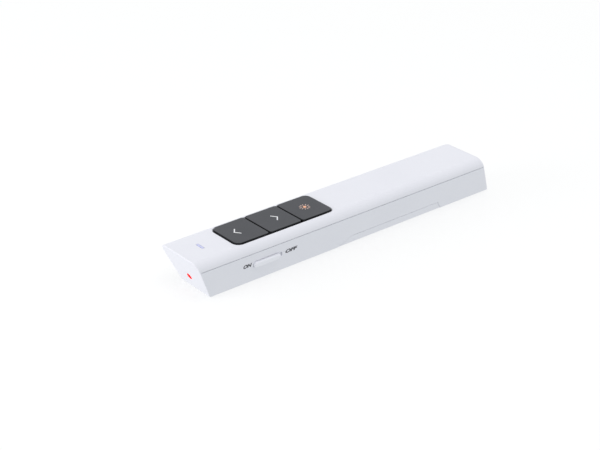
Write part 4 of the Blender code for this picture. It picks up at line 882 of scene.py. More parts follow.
silicone = grainy("dark_moulded_silicone", "#1E1F22", "#27282C", 0.75, 0.2, 0.15, 6, {"IOR": 1.41})
dress(nodes["keypad_mat"], silicone)

# Screws. Zinc-plated steel with pan heads, a cross recess and a rolled thread. Two go up through
# the floor and the board into the top cover, and two hold the board's rear end.

SCREW_CORE = 0.62 * MM
THREAD_HEIGHT = 0.18 * MM
THREAD_PITCH = 0.5 * MM
THREAD_SIDES = 28
ROWS_A_PITCH = 8
RIDGE_STEEPNESS = 2.6
POINT_SHARE = 0.16
POINT_LEAST = 0.12
HEAD_EDGE = 0.4 * MM
RECESS_REACH = 0.95 * MM
RECESS_ARM = 0.2 * MM
RECESS_DEPTH = 0.55 * MM
RECESS_TAPER = ((1, 1.25), (0, 1.0), (-1, 0.6))
ROUND_STEPS = 40


def turned(name, profile, centre, upright=False, closed=False):
    """A turned part: a profile of (radius, place) points carried round an axis that lies along the
    case or stands upright. A closed profile, whose last point is its first, gives a tube."""
    radius, place = (np.array(profile)[:, i:i + 1] for i in (0, 1))
    first, second = (radius * disc((0, 0), 1.0, ROUND_STEPS)[:, i] for i in (0, 1))
    rows = [centre[0] + first, centre[1] + second]
    rows.insert(2 if upright else 1, np.broadcast_to(place, first.shape))
    return skin(name, np.stack(rows, axis=-1), not closed)


def threaded(name, centre, start, end):
    """A threaded shank: its radius is the core plus the thread's height times a ridge that falls
    with the distance from a helix, and all of it narrows over the last stretch to the point."""
    pitches = abs(end - start) / THREAD_PITCH
    shares = np.linspace(0, 1, round(pitches * ROWS_A_PITCH))
    angle, share = np.meshgrid(np.arange(THREAD_SIDES) / THREAD_SIDES * 2 * math.pi, shares)
    phase = (share * pitches - angle / (2 * math.pi)) % 1.0
    ridge = np.clip(1 - np.abs(phase - 0.5) * RIDGE_STEEPNESS, 0, 1)
    radius = (SCREW_CORE + THREAD_HEIGHT * ridge) * np.clip((1 - share) / POINT_SHARE, POINT_LEAST, 1)
    x, y = centre[0] + radius * np.cos(angle), centre[1] + radius * np.sin(angle)
    return skin(name, np.stack((x, y, start + (end - start) * share), axis=-1))


def pan_head(name, centre, face, seat, radius):
    """A screw's head with a rounded rim and a tapered cross recess."""
    out = math.copysign(1.0, face - seat)
    drops, insets = round_over(HEAD_EDGE, EDGE_STEPS + 1)
    rim = np.column_stack((radius - insets, face - out * drops))
    foot = [(radius - TINY, seat), (radius, seat + out * TINY)]
    head = turned(name, [*foot, *rim], centre, upright=True)
    return carve(head, [skin("arm", [
        laid(box_outline(centre - reach * share, centre + reach * share), face + out * side * RECESS_DEPTH)
        for side, share in RECESS_TAPER
    ]) for reach in (np.array((RECESS_REACH, RECESS_ARM)), np.array((RECESS_ARM, RECESS_REACH)))])


zinc = metal("zinc_plated_steel", "#B9BBC0", "#9A9CA3", 0.35, 0.3)
for name in ("housing_screw_left", "housing_screw_right", "board_screw_left", "board_screw_right"):
    low, high = span(name)
    face, seat, point = low[2], HEAD_RECESS_DEPTH, high[2]
    if name.startswith("board"):
        face, seat, point = high[2], BOARD_TOP, low[2]
    centre = (low + high)[:2] / 2
    screw = pan_head(f"{name}_pan_head", centre, face, seat, (high[0] - low[0]) / 2)
    carve(screw, [threaded("shank", centre, (seat + face) / 2, point)], "UNION")
    fitted(screw, zinc, name)

# Laser module. A turned brass barrel with two grooves holds a window, a moulded lens, its spring
# and a metal-can diode whose pins reach the driver board behind it.

CHAMFER = 0.25 * MM
GROOVE_WIDTH = 0.5 * MM
GROOVE_DEPTH = 0.2 * MM
GROOVE_SHARES = (0.42, 0.58)
BARREL_WALL = 0.7 * MM
BARREL_LIP = 0.8 * MM
MOUTH_RADIUS = 1.6 * MM
LENS_BULGE = 0.4 * MM
LENS_FACE_STEPS = 12
LENS_PIP = 0.02
SPRING_STEPS = 20
SPRING_WIRE = 0.18 * MM
SPRING_SIDES = 10
SPRING_TURNS = 3
DIODE_FLANGE = 0.6 * MM
PIN_RADIUS = 0.22 * MM
PIN_SPREAD = 1.0 * MM
PIN_LAP = 0.8 * MM
# The driver chip's corners, from the middle of the board's top.
DRIVER_CHIP = np.array(((-0.8, -0.9, -0.05), (0.8, 0.6, 0.6))) * MM


def coil(name, centre, radii, front, rear, turns, wire):
    """A coil spring along the case: a circle of the wire's radius carried along a helix whose
    radius grows evenly, and whose advance eases in and out so that its end turns lie flat."""
    share = np.linspace(0, 1, round(turns * SPRING_STEPS) + 1)[:, None]
    angle = 2 * math.pi * turns * share
    ease = (share + share * share * (3 - 2 * share)) / 2
    section = disc((0, 0), wire, SPRING_SIDES)
    radius = radii[0] + (radii[1] - radii[0]) * share + section[:, 0]
    advance = front + wire + (rear - front - 2 * wire) * ease + section[:, 1]
    points = (centre[0] + radius * np.cos(angle), advance, centre[1] + radius * np.sin(angle))
    return skin(name, np.stack(points, axis=-1))


brass = metal("turned_brass", "#D2AE62", "#B48F45", 0.28, 0.3, (1, 6, 1))
lens_glass = clear_plastic("optical_glass", "#E8F0F4", 0.04, 1.52, 0.9)
black_resin = grainy("black_moulded_resin", "#1C1C1F", "#242427", 0.5, 0.15, 0.15, 3)
laminate = grainy("green_solder_mask", "#1F5C3A", "#1A5033", 0.4, 0.3, 0.1, 3)

# The window glows red, as it does with the laser switched on.
laser_glow = glowing("#FF1408", 5.0)
lit_glass = clear_plastic("lit_optical_glass", "#FF2A1E", 0.2, 1.52, 0.3, laser_glow)

outer, front, rear = laser_high.x, laser_low.y, laser_high.y
bore = outer - BARREL_WALL
profile = [
    (MOUTH_RADIUS, front + CHAMFER), (MOUTH_RADIUS + CHAMFER, front),
    (outer - CHAMFER, front), (outer, front + CHAMFER),
]
for share in GROOVE_SHARES:
    middle = front + (rear - front) * share
    profile += [
        (outer, middle - GROOVE_WIDTH / 2), (outer - GROOVE_DEPTH, middle - GROOVE_WIDTH / 3),
        (outer - GROOVE_DEPTH, middle + GROOVE_WIDTH / 3), (outer, middle + GROOVE_WIDTH / 2),
    ]
profile += [
    (outer, rear - CHAMFER), (outer - CHAMFER, rear), (bore, rear), (bore, front + BARREL_LIP),
    (MOUTH_RADIUS, front + BARREL_LIP), profile[0],
]
fitted(turned("laser_brass_barrel", profile, laser_axis, closed=True), brass, "laser_barrel")

low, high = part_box("laser_window")
inner = high.x - TINY
window = turned("laser_exit_window", [
    (inner, low.y), (high.x, low.y + TINY), (high.x, high.y - TINY), (inner, high.y),
], laser_axis)
fitted(window, lit_glass, "laser_window")

low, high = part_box("laser_lens")
across = np.linspace(LENS_PIP, 1, LENS_FACE_STEPS)
bulge = LENS_BULGE * across ** 2
front_face, rear_face = (np.column_stack((high.x * across, y)) for y in (low.y + bulge, high.y - bulge))
lens = turned("laser_moulded_lens", np.vstack((front_face, rear_face[::-1])), laser_axis)
fitted(lens, lens_glass, "laser_lens")

diode_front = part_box("laser_diode")[0].y
radii = (high.x - SPRING_WIRE, high.x - SPRING_WIRE)
spring = coil("laser_lens_spring", laser_axis, radii, high.y, diode_front, SPRING_TURNS, SPRING_WIRE)
fitted(spring, zinc, "lens_spring", angle=60)

board_low, board_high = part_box("laser_board")
can, flange_front = high.x, rear + TINY
flange_rear = flange_front + DIODE_FLANGE
diode = turned("laser_diode_can", [
    (MOUTH_RADIUS / 2, diode_front + 2 * TINY), (MOUTH_RADIUS / 2, diode_front),
    (can - CHAMFER, diode_front), (can, diode_front + CHAMFER), (can, flange_front),
    (outer - TINY, flange_front), (outer, flange_front + TINY),
    (outer, flange_rear - TINY), (outer - TINY, flange_rear),
], laser_axis)
pin_z, pin_ends = board_high.z + PIN_RADIUS / 2, (flange_rear - TINY, board_low.y + PIN_LAP)
pins = [rod("pin", (x, pin_z), PIN_RADIUS, *pin_ends, axis=1) for x in (-PIN_SPREAD, PIN_SPREAD)]
fitted(carve(diode, pins, "UNION"), nickel, "laser_diode")
fitted(soft_block("laser_driver_board", board_low, board_high, (0.3, 0.05)), laminate, "laser_board")
chip_place = (0, (board_low.y + board_high.y) / 2, board_high.z)
fitted(soft_block("laser_driver_chip", *(DRIVER_CHIP + chip_place), (0.15, 0.06)), black_resin)

# Key switches. Each has a black resin body, a steel cover plate pegged on at its corners, four bent
# legs soldered to the board, and a round plunger that moves with its key.

TACT_PLATE = 0.35 * MM
PEG_RADIUS = 0.38 * MM
PEG_SET = 0.85 * MM
LEG_WIDTH = 0.7 * MM
LEG_SPREAD = 2.25 * MM
LEG_REACH = 0.6 * MM
LEG_SHEET = 0.2 * MM
LEG_TOP = 0.9 * MM
WELL_RADIUS = 1.8 * MM
WELL_FLOOR = 0.6 * MM
PLUNGER_EDGE = 0.25 * MM
PLUNGER_CUT = 0.08 * MM
CORNER_SIDES = ((-1, -1), (-1, 1), (1, -1), (1, 1))

for name in KEYS:
    switch = f"tact_switch_{name}"
    middle, half = middle_of(switch)
    low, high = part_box(switch)
    plate_z, y = high.z - TACT_PLATE, middle[1]
    body = block_on(f"{switch}_body", middle, half, BOARD_TOP + PLATED, plate_z, (0.35, 0.08))
    carve(body, [rod("well", (0, y), WELL_RADIUS, low.z + WELL_FLOOR, high.z)])
    fitted(body, black_resin, switch)
    plate = block_on(f"{switch}_plate", middle, half, plate_z, high.z - PLATED, (0.5, 0.08))
    corner = high.x - PEG_SET
    pegs = [(sx * corner, y + sy * corner) for sx, sy in CORNER_SIDES]
    holes = [((0, y), WELL_RADIUS), *((centre, PEG_RADIUS) for centre in pegs)]
    carve(plate, [rod("hole", centre, radius, low.z, high.z + OVERRUN) for centre, radius in holes])
    fitted(plate, nickel)
    peg_side = PEG_RADIUS - TINY
    peg = [(peg_side, plate_z), (peg_side, high.z - 2 * PLATED), (PEG_RADIUS / 2, high.z)]
    pegs = [turned("peg", peg, centre, upright=True) for centre in pegs]
    fitted(merged(f"{switch}_pegs", pegs), black_resin)
    legs = []
    for sx, sy in CORNER_SIDES:
        upright, foot = (block_on(
            "leg", (sx * (high.x + reach / 2), y + sy * LEG_SPREAD), (reach / 2, LEG_WIDTH / 2),
            BOARD_TOP, BOARD_TOP + rise, (0.06, 0.04),
        ) for reach, rise in ((LEG_SHEET, LEG_TOP), (LEG_REACH, LEG_SHEET)))
        legs.append(carve(upright, [foot], "UNION"))
    fitted(merged(f"{switch}_legs", legs), nickel)
    low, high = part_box(f"plunger_{name}")
    plunger = turned(f"tact_plunger_{name}", [
        (high.x, low.z), (high.x, high.z - PLUNGER_EDGE), (high.x - PLUNGER_CUT, high.z - PLUNGER_CUT),
        (high.x - PLUNGER_EDGE, high.z), (high.x / 2, high.z),
    ], (0, y), upright=True)
    fitted(plunger, black_resin, f"plunger_{name}", body=f"{name}_key")

# Main board. Green glass-fibre board, forked round the laser module. Plated pads and small chip
# resistors lie round the parts, which are soldered on at their ends or leads.

PAD_THICKNESS = 0.035 * MM
PAD_TOP = BOARD_TOP + PAD_THICKNESS
CHIP_HALF = np.array((0.8, 1.6, 0.45)) * MM / 2
CHIP_END = 0.3 * MM
CAPACITOR_END = 0.5 * MM
RESISTOR_PLACES = (
    (-5.2, -31.4), (-5.2, -28.0), (5.4, -31.4), (5.4, -28.0), (-4.6, -17.2), (4.6, -17.4), (3.2, -36.2),
    (-5.0, -46.0), (-3.9, -48.8), (4.4, -47.4), (-5.2, -43.0),
)
DOT_DEPTH = 0.08 * MM
RADIO_PAD = np.array((0.7, 0.28)) * MM
RADIO_PADS = np.linspace(-1.4, 1.4, 5) * MM
MEMORY_LEADS = np.linspace(-1.35, 1.35, 4) * MM
LEAD_SET = 0.6 * MM
LEAD_STAND = 0.12 * MM
LEAD_HALF_WIDTH = 0.18 * MM
# The bent lead, from the chip's side and the board's top.
LEAD_PATH = np.array([
    (-0.1, 0.75), (0.2, 0.75), (0.3, 0.15), (0.6, 0.15), (0.6, 0), (0.15, 0), (0.08, 0.6), (-0.1, 0.6)
]) * MM
SIDE_CUT = 0.15 * MM
INDUCTOR_STAND = 0.1 * MM
TERMINAL_HALF = np.array((1.1, 0.35)) * MM
TERMINAL_HEIGHT = 0.3 * MM

dress(nodes["main_board"], laminate)
tan_ceramic = grainy("tan_fired_ceramic", "#AE9170", "#9E8262", 0.6, 0.2, 0.1, 1)
tin = metal("tinned_copper", "#D6D4CC", "#BDBBB2", 0.4, 0.2)


def two_ended(name, centre, half, material, *node, end=CHIP_END):
    """A chip part along the case, of which the plated caps round its ends are given back."""
    body_half = half[1] - end / 2
    top = PAD_TOP + 2 * half[2]
    body = block_on(f"{name}_body", centre, (half[0], body_half), PAD_TOP, top, (0.1, 0.05), axis=1)
    fitted(body, material, *node)
    cap_half = (half[0] + PLATED, end / 2)
    return [
        block_on("cap", centre[:2] + (0, edge), cap_half, BOARD_TOP, top + PLATED, (0.12, 0.06), axis=1)
        for edge in (-body_half, body_half)
    ]


def dotted_chip(node, middle, half, low, radii, dot_set, dot_radius):
    """A chip's moulded body with a sunk dot that marks its first lead."""
    top = middle[2] + half[2]
    dot = rod("dot", (middle - half)[:2] + dot_set, dot_radius, top - DOT_DEPTH, top + OVERRUN)
    body = carve(block_on(f"{node}_body", middle, half, low, top, radii), [dot])
    fitted(body, black_resin, node)


middle, half = middle_of("filter_capacitor")
caps = two_ended("filter_capacitor", middle, half, tan_ceramic, "filter_capacitor", end=CAPACITOR_END)
for count, place in enumerate(np.array(RESISTOR_PLACES) * MM):
    caps += two_ended(f"chip_resistor_{count}", place, CHIP_HALF, black_resin)
fitted(merged("chip_part_end_caps", caps), tin)

middle, half = middle_of("radio_chip")
dotted_chip(
    "radio_chip", middle, half[[0, 0, 2]], PAD_TOP, (0.12, 0.06), dot_set=0.7 * MM, dot_radius=0.25 * MM
)
leads = []
for place in RADIO_PADS:
    for edge in (-half[0], half[0]):
        for aside, pad in (((edge, place), RADIO_PAD), ((place, edge), RADIO_PAD[::-1])):
            pad_centre = middle[:2] + aside
            leads.append(block_on("pad", pad_centre, pad / 2, BOARD_TOP - TINY, PAD_TOP, (0.12, 0.01)))

middle, half = middle_of("memory_chip")
middle[0] = 0
half[0] -= LEAD_SET
dotted_chip(
    "memory_chip", middle, half, BOARD_TOP + LEAD_STAND, (0.2, 0.15), dot_set=0.6 * MM, dot_radius=0.22 * MM
)
lead_path = LEAD_PATH + (half[0], BOARD_TOP)
for y in middle[1] + MEMORY_LEADS:
    for out in (-1, 1):
        leads.append(prism("lead", lead_path * (out, 1), (y - LEAD_HALF_WIDTH, y + LEAD_HALF_WIDTH), axis=1))
fitted(merged("chip_leads_and_pads", leads), tin)

middle, half = middle_of("clock_crystal")
drawn_in = half - (SIDE_CUT, SIDE_CUT, 0)
can = soft_block("clock_crystal_can", middle - drawn_in, middle + drawn_in, (0.35, 0.12))
fitted(can, nickel, "clock_crystal")
can_bottom = middle[2] - half[2] + TINY
seat = block_on("clock_crystal_base", middle, half, BOARD_TOP, can_bottom, (0.25, 0.05))
fitted(seat, tan_ceramic)

middle, half = middle_of("boost_inductor")
core_bottom, core_top = BOARD_TOP + INDUCTOR_STAND, middle[2] + half[2]
inductor = block_on("boost_inductor_core", middle, half, core_bottom, core_top, (0.55, 0.15))
fitted(inductor, black_resin, "boost_inductor")
terminal_top = BOARD_TOP + TERMINAL_HEIGHT
terminals = [
    block_on("terminal", middle[:2] + (0, edge), TERMINAL_HALF, BOARD_TOP, terminal_top, (0.1, 0.05))
    for edge in (-half[1], half[1])
]
fitted(merged("boost_inductor_terminals", terminals), tin)

# Slide switch. A folded steel shell under the board with a window for its lever, a black slider
# base inside it and three pins up into the board.

WINDOW_DEPTH = 1.3 * MM
WINDOW_PLAY = 0.3 * MM
LEVER_TRAVEL = 1.0 * MM
FOLD_FRONT = 0.9 * MM
FOLD_REAR = 0.5 * MM
FOLD_SET = 1.6 * MM
FOLD_HALF_WIDTH = 0.1 * MM
FOLD_DEPTH = 0.12 * MM
SWITCH_PIN_RADIUS = 0.25 * MM
SWITCH_PIN_SET = 2.0 * MM

low, high = span("slide_switch_body")
shell = soft_block("slide_switch_shell", low, high, (0.35, 0.2), axis=0)
window_low = (high[0] - WINDOW_DEPTH, *(lever_low - WINDOW_PLAY)[1:])
window_high = (high[0] + OVERRUN, lever_high[1] + LEVER_TRAVEL + WINDOW_PLAY, lever_high[2] + WINDOW_PLAY)
folds = [box(
    "fold", (low[0] + FOLD_FRONT, y - FOLD_HALF_WIDTH, low[2] - OVERRUN),
    (high[0] - FOLD_REAR, y + FOLD_HALF_WIDTH, low[2] + FOLD_DEPTH),
) for y in (low[1] + FOLD_SET, high[1] - FOLD_SET)]
carve(shell, [soft_block("lever_window", window_low, window_high, (0.2, 0.05), axis=0), *folds])
fitted(shell, nickel, "slide_switch_body")
pin_x, pin_low = (low[0] + high[0]) / 2, high[2] - FOLD_HALF_WIDTH
switch_pins = [
    rod("pin", (pin_x, y), SWITCH_PIN_RADIUS, pin_low, BOARD_BOTTOM)
    for y in np.linspace(low[1] + SWITCH_PIN_SET, high[1] - SWITCH_PIN_SET, 3)
]
fitted(merged("slide_switch_pins", switch_pins), tin)
lever = soft_block("slide_switch_slider", lever_low, lever_high, (0.12, 0.1), axis=0)
fitted(lever, black_resin, "slide_switch_lever", body="power_switch")

# Battery. One AAA dry cell: a steel can with a raised button and a sunken rear plate, in a printed
# shrink film whose ends are folded over. The film is plain, with a silver band at the button's end.

NUB_RADIUS = 1.9 * MM
NUB_HEIGHT = 0.8 * MM
NUB_EDGE = 0.3 * MM
NUB_BEND = 0.3
NUB_FOOT = 0.15 * MM
# The front plate's pressed ring and the rear plate's rolled edge, as radius and place in mm from
# the can's side and the plate, or the rear end.
FRONT_RING = ((-1.5, 0), (-1.35, 0.35), (-1.05, 0.35), (-0.9, 0.02), (-0.4, 0.02), (0, 0.4))
REAR_EDGE = ((0, -0.5), (-0.4, -0.1), (-0.7, -0.1), (-0.9, -0.25))
# The film's outer side from its front fold to its rear one, and its inner side back again, as radius
# in mm from the can's side and place in mm from the front plate or the rear end.
FILM_OUTSIDE = (((-0.75, -0.05), (-0.35, -0.1), (0.1, 0.3)), ((0.1, -0.4), (-0.35, 0), (-0.75, -0.025)))
FILM_INSIDE = (
    ((-0.75, -0.09), (-0.45, -0.09), (-0.025, -0.6)), ((-0.025, 0.5), (-0.45, 0.05), (-0.75, 0.05)),
)
FILM = 0.1 * MM
REAR_SINK = 0.25 * MM
BAND_LENGTH = 9.0 * MM
BAND_BLUR = 0.05 * MM


def cell_points(rows, place):
    """Profile points in mm from the can's side and a place, as radius and place."""
    return (np.array(rows) * MM + (can_radius, place)).tolist()


cell_low, cell_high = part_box("battery_cell")
cell_axis = ((cell_low.x + cell_high.x) / 2, (cell_low.z + cell_high.z) / 2)
can_radius = (cell_high.x - cell_low.x) / 2 - FILM
front, rear = cell_low.y, cell_high.y
plate_y = front + NUB_HEIGHT
profile = [
    (NUB_RADIUS / 3, front), (NUB_RADIUS - NUB_EDGE, front),
    (NUB_RADIUS - NUB_EDGE * NUB_BEND, front + NUB_EDGE * NUB_BEND), (NUB_RADIUS, front + NUB_EDGE),
    (NUB_RADIUS, plate_y - NUB_FOOT), (NUB_RADIUS + NUB_FOOT, plate_y),
    *cell_points(FRONT_RING, plate_y), *cell_points(REAR_EDGE, rear),
    (NUB_RADIUS, rear - REAR_SINK), (NUB_RADIUS / 3, rear - REAR_SINK),
]
fitted(turned("battery_cell_can", profile, cell_axis), nickel, "battery_cell")
cell_film = grainy("printed_cell_film", "#2F4B8C", "#28417C", 0.3, 0.5, 0.03, 12)
two_tone(cell_film, "Y", plate_y + BAND_LENGTH, plate_y + BAND_LENGTH + BAND_BLUR, "#B9BCC4")
profile = []
for rows, place in zip((*FILM_OUTSIDE, *FILM_INSIDE), (plate_y, rear, rear, plate_y)):
    profile += cell_points(rows, place)
film = turned("battery_cell_film", [*profile, profile[0]], cell_axis, closed=True)
fitted(film, cell_film, "battery_cell")

# Battery contacts. Nickel-plated spring steel: stamped plates with a tab up to their leads. The
# positive one has a pressed dimple for the cell's button, and the negative one a cone spring.

PLATE_RADII = (0.8, 0.1)
TAB_RADII = (0.4, 0.1)
CONTACT_HEIGHT = 6.8 * MM
TAB_WIDTH = 2.0 * MM
DIMPLE_RADIUS = 1.7 * MM
DIMPLE_STEPS = (0.1 * MM, 0.5 * MM)
LEAD_HOLE_DROP = 0.75 * MM
LEAD_HOLE_RADIUS = 0.35 * MM
SPRING_RADII = (1.8 * MM, 3.6 * MM)
CELL_SPRING_WIRE = 0.3 * MM
CELL_SPRING_TURNS = 3.5
RED_LEAD_X = -2.0 * MM
positive_low, positive_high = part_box("positive_contact")
negative_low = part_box("negative_contact")[0]

for name, tab_x in (("positive_contact", RED_LEAD_X), ("negative_contact", negative_low.x + TAB_WIDTH / 2)):
    low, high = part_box(name)
    side, plate_top = high.x, low.z + CONTACT_HEIGHT
    tab_low = (tab_x - TAB_WIDTH / 2, low.y, plate_top - TAB_WIDTH)
    tab_high = (tab_x + TAB_WIDTH / 2, high.y, high.z)
    plate = soft_block(f"{name}_plate", (-side, low.y, low.z), (side, high.y, plate_top), PLATE_RADII, axis=1)
    parts = [soft_block("tab", tab_low, tab_high, TAB_RADII, axis=1)]
    if tab_x < -side:
        parts.append(soft_block("foot", tab_low, (-side / 2, high.y, plate_top), TAB_RADII, axis=1))
    else:
        crown = cell_low.y - TINY
        parts.append(turned("dimple", [
            (DIMPLE_RADIUS, high.y - TINY), (DIMPLE_RADIUS - DIMPLE_STEPS[0], high.y),
            (DIMPLE_RADIUS - DIMPLE_STEPS[1], crown), (DIMPLE_RADIUS / 4, crown),
        ], cell_axis))
    carve(plate, parts, "UNION")
    hole = (tab_x, high.z - LEAD_HOLE_DROP)
    carve(plate, [rod("lead_hole", hole, LEAD_HOLE_RADIUS, low.y - OVERRUN, high.y + OVERRUN, axis=1)])
    fitted(plate, nickel, name)
cell_spring = coil(
    "battery_cone_spring", cell_axis, SPRING_RADII, cell_high.y - REAR_SINK, negative_low.y,
    CELL_SPRING_TURNS, CELL_SPRING_WIRE,
)
fitted(cell_spring, nickel, "negative_spring", angle=60)

# Leads. Stranded copper in red and black PVC, soldered to their pads. Two arch from the laser's
# driver board to the forks, and two run from the battery contacts to the board's rear end.

WIRE_SIDES = 16
WIRE_POINTS = 28
LASER_WIRE_RADIUS = 0.4 * MM
LASER_WIRE_ARCH = 1.8 * MM
CELL_WIRE_RADIUS = 0.5 * MM
TAB_DROP = 0.8 * MM
SOLDER_RADIUS = 0.75 * MM
SOLDER_HEIGHT = 0.5 * MM
SOLDER_PROFILE = ((1, 0), (0.85, 0.35), (0.55, 0.8), (0.2, 1))

sheaths = {
    "red": grainy("red_pvc", "#B8201C", "#A81B18", 0.45, 0.2, 0.05, 4),
    "black": grainy("black_pvc", "#19191B", "#202023", 0.45, 0.2, 0.05, 4),
}
solder = metal("solder", "#C9C9C6", "#AEAEAB", 0.3, 0.3)


def wire(name, points, radius, sideways, colour, node):
    """A round lead: a circle carried along a path of points, in the plane of a fixed sideways
    direction and the direction square to it and to the path's slope."""
    slope = np.gradient(points, axis=0)
    slope /= np.linalg.norm(slope, axis=1, keepdims=True)
    first = np.cross(slope, sideways)
    first /= np.linalg.norm(first, axis=1, keepdims=True)
    frame_of = np.stack((first, np.cross(slope, first)), axis=1)
    lead = skin(name, points[:, None] + disc((0, 0), radius, WIRE_SIDES) @ frame_of)
    fitted(lead, sheaths[colour], node, angle=60)


def swept(start, end, arch=0.0):
    """A path from start to end, even along the case and on half a cosine wave across it. Its height
    follows that wave too or, with an arch, is even plus half a sine wave."""
    along = np.linspace(0, 1, WIRE_POINTS)
    ease = (1 - np.cos(math.pi * along)) / 2
    path = np.array(start) + (np.array(end) - start) * np.column_stack((ease, along, along if arch else ease))
    path[:, 2] += arch * np.sin(math.pi * along)
    return path


joints = []
for colour, side in (("red", 1), ("black", -1)):
    node = f"laser_wire_{colour}"
    low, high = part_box(node)
    y = (low.y + high.y) / 2
    near, far = sorted((abs(low.x), abs(high.x)))
    start = (side * (near + LASER_WIRE_RADIUS), y, board_high.z)
    end = (side * (far - LASER_WIRE_RADIUS), y, BOARD_TOP)
    path = swept(start, end, LASER_WIRE_ARCH)
    wire(f"laser_lead_{colour}", path, LASER_WIRE_RADIUS, (0, 1, 0), colour, node)
    joints += [start, end]

tab_z, wire_z = positive_high.z - TAB_DROP, BOARD_TOP + CELL_WIRE_RADIUS
board_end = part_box("battery_wire_red")[0].y
low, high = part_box("battery_wire_black")
black_x = low.x + CELL_WIRE_RADIUS
bay = [(black_x, y, tab_z) for y in (negative_low.y, (BAY_FRONT + BAY_REAR) / 2)]
for colour, before, start, end_x in (
    ("red", [], (RED_LEAD_X, positive_low.y, tab_z), RED_LEAD_X),
    ("black", bay, (black_x, BAY_FRONT, tab_z), high.x - CELL_WIRE_RADIUS),
):
    path = np.vstack([*before, swept(start, (end_x, board_end, wire_z))])
    wire(f"battery_lead_{colour}", path, CELL_WIRE_RADIUS, (1, 0, 0), colour, f"battery_wire_{colour}")
    joints.append((end_x, board_end, BOARD_TOP))
blobs = [turned(
    "blob", np.array(SOLDER_PROFILE) * (SOLDER_RADIUS, SOLDER_HEIGHT) + (0, z), (x, y), upright=True
) for x, y, z in joints]
fitted(merged("solder_joints", blobs), solder, angle=60)

# Radio receiver. A white ABS grip that follows the slanted tail, with ribs for the fingers, a folded
# steel plug shell with its four latch windows, and a black tongue with four gold-plated contacts.

CAP_STAND = 0.6 * MM
CAP_CORNER = 1.0 * MM
CAP_EDGE = 0.45 * MM
RIB_STEP = 1.5 * MM
RIB_CUT = 0.35 * MM
RIB_HALF_LENGTH = 3.5 * MM
POCKET_DEPTH = 4.3 * MM
SHELL_SHEET = 0.4 * MM
WINDOW_SIDE = 2.0 * MM
WINDOW_SPREAD = 2.8 * MM
WINDOW_FROM_TIP = 4.2 * MM
SEAM_HALF_WIDTH = 0.06 * MM
SEAM_DEPTH = 0.15 * MM
STRIP_THICKNESS = 0.08 * MM
STRIP_HALF_WIDTH = 0.5 * MM
STRIP_END = 9.0 * MM
STRIP_STARTS = ((-3.5, 0.8), (-1.0, 1.8), (1.0, 1.8), (3.5, 0.8))
CHIP_HALF_WIDTH = 1.5 * MM
CHIP_FRONT_SET = 0.4 * MM
CHIP_REAR_SET = 0.3 * MM
CHIP_RISE = 0.7 * MM

gold = metal("gold_plated_contacts", "#E3C06A", "#CFA94F", 0.3, 0.2, (1, 0.2, 1))
grip_low, grip_high = np.array(cap_low)[[0, 2]], np.array(cap_high)[[0, 2]]
front_rings, rear_rings = [], []
for inset, depth in zip(*round_over(CAP_EDGE, EDGE_STEPS + 1)):
    outline = rounded_outline(grip_low + inset, grip_high - inset, CAP_CORNER - inset)
    front_rings.append(laid(outline, cap_low.y + depth, 1))
    rear_rings.append(on_end(outline, tail_y, depth - CAP_STAND))
grip = skin("receiver_grip", front_rings + rear_rings[::-1])
inner_x = plug_high.x - SHELL_SHEET
inner_low, inner_high = plug_low.z + SHELL_SHEET, plug_high.z - SHELL_SHEET
pocket_high = (inner_x, cap_low.y + POCKET_DEPTH, inner_high)
cutters = [box("plug_pocket", (-inner_x, cap_low.y - OVERRUN, inner_low), pocket_high)]
for z in (cap_low.z, cap_high.z):
    for y in tail_y(z, CAP_EDGE) - RIB_STEP / 2 - RIB_STEP * np.arange(1, 4):
        groove_low = (-RIB_HALF_LENGTH, y - RIB_CUT, z - RIB_CUT / 2)
        cutters.append(box("rib_groove", groove_low, (RIB_HALF_LENGTH, y, z + RIB_CUT / 2)))
fitted(carve(grip, cutters), moulded_abs, "receiver_cap", body="receiver")

shell_high = (plug_high.x, cap_low.y + TINY, plug_high.z)
shell = soft_block("receiver_steel_shell", plug_low, shell_high, (0.6, 0.1), axis=1)
hollow_low = (plug_low.x + SHELL_SHEET, plug_low.y - OVERRUN, inner_low)
hollow = soft_block("hollow", hollow_low, (inner_x, cap_low.y + OVERRUN, inner_high), (0.25, 0.05), axis=1)
window_y = plug_low.y + WINDOW_FROM_TIP + WINDOW_SIDE / 2
latch_windows = [block_on(
    "latch_window", (x, window_y), (WINDOW_SIDE / 2, WINDOW_SIDE / 2),
    z - SHELL_SHEET * 1.5, z + SHELL_SHEET * 1.5, (0.15, 0.05),
) for x in (-WINDOW_SPREAD, WINDOW_SPREAD) for z in (plug_low.z, plug_high.z)]
fold_seam = box(
    "fold_seam", (-SEAM_HALF_WIDTH, plug_low.y - OVERRUN, plug_low.z - OVERRUN),
    (SEAM_HALF_WIDTH, cap_low.y, plug_low.z + SEAM_DEPTH),
)
carve(shell, [hollow, *latch_windows, fold_seam])
fitted(shell, nickel, "receiver_plug_shell", body="receiver")

low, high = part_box("receiver_tongue")
tongue = soft_block("receiver_contact_tongue", low, high, (0.3, 0.15), axis=1)
fitted(tongue, black_resin, "receiver_tongue", body="receiver")
strips = [soft_block(
    "strip", (x - STRIP_HALF_WIDTH, low.y + start, high.z - TINY),
    (x + STRIP_HALF_WIDTH, low.y + STRIP_END, high.z + STRIP_THICKNESS), (0.2, 0.03),
) for x, start in np.array(STRIP_STARTS) * MM]
fitted(merged("receiver_gold_contacts", strips), gold, body="receiver")
low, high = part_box("receiver_board")
receiver_circuit = soft_block("receiver_circuit_board", low, high, (0.3, 0.05))
fitted(receiver_circuit, laminate, "receiver_board", body="receiver")
receiver_chip = soft_block(
    "receiver_radio_chip", (-CHIP_HALF_WIDTH, low.y + CHIP_FRONT_SET, high.z - TINY),
    (CHIP_HALF_WIDTH, high.y - CHIP_REAR_SET, high.z + CHIP_RISE), (0.15, 0.06),
)
fitted(receiver_chip, black_resin, body="receiver")

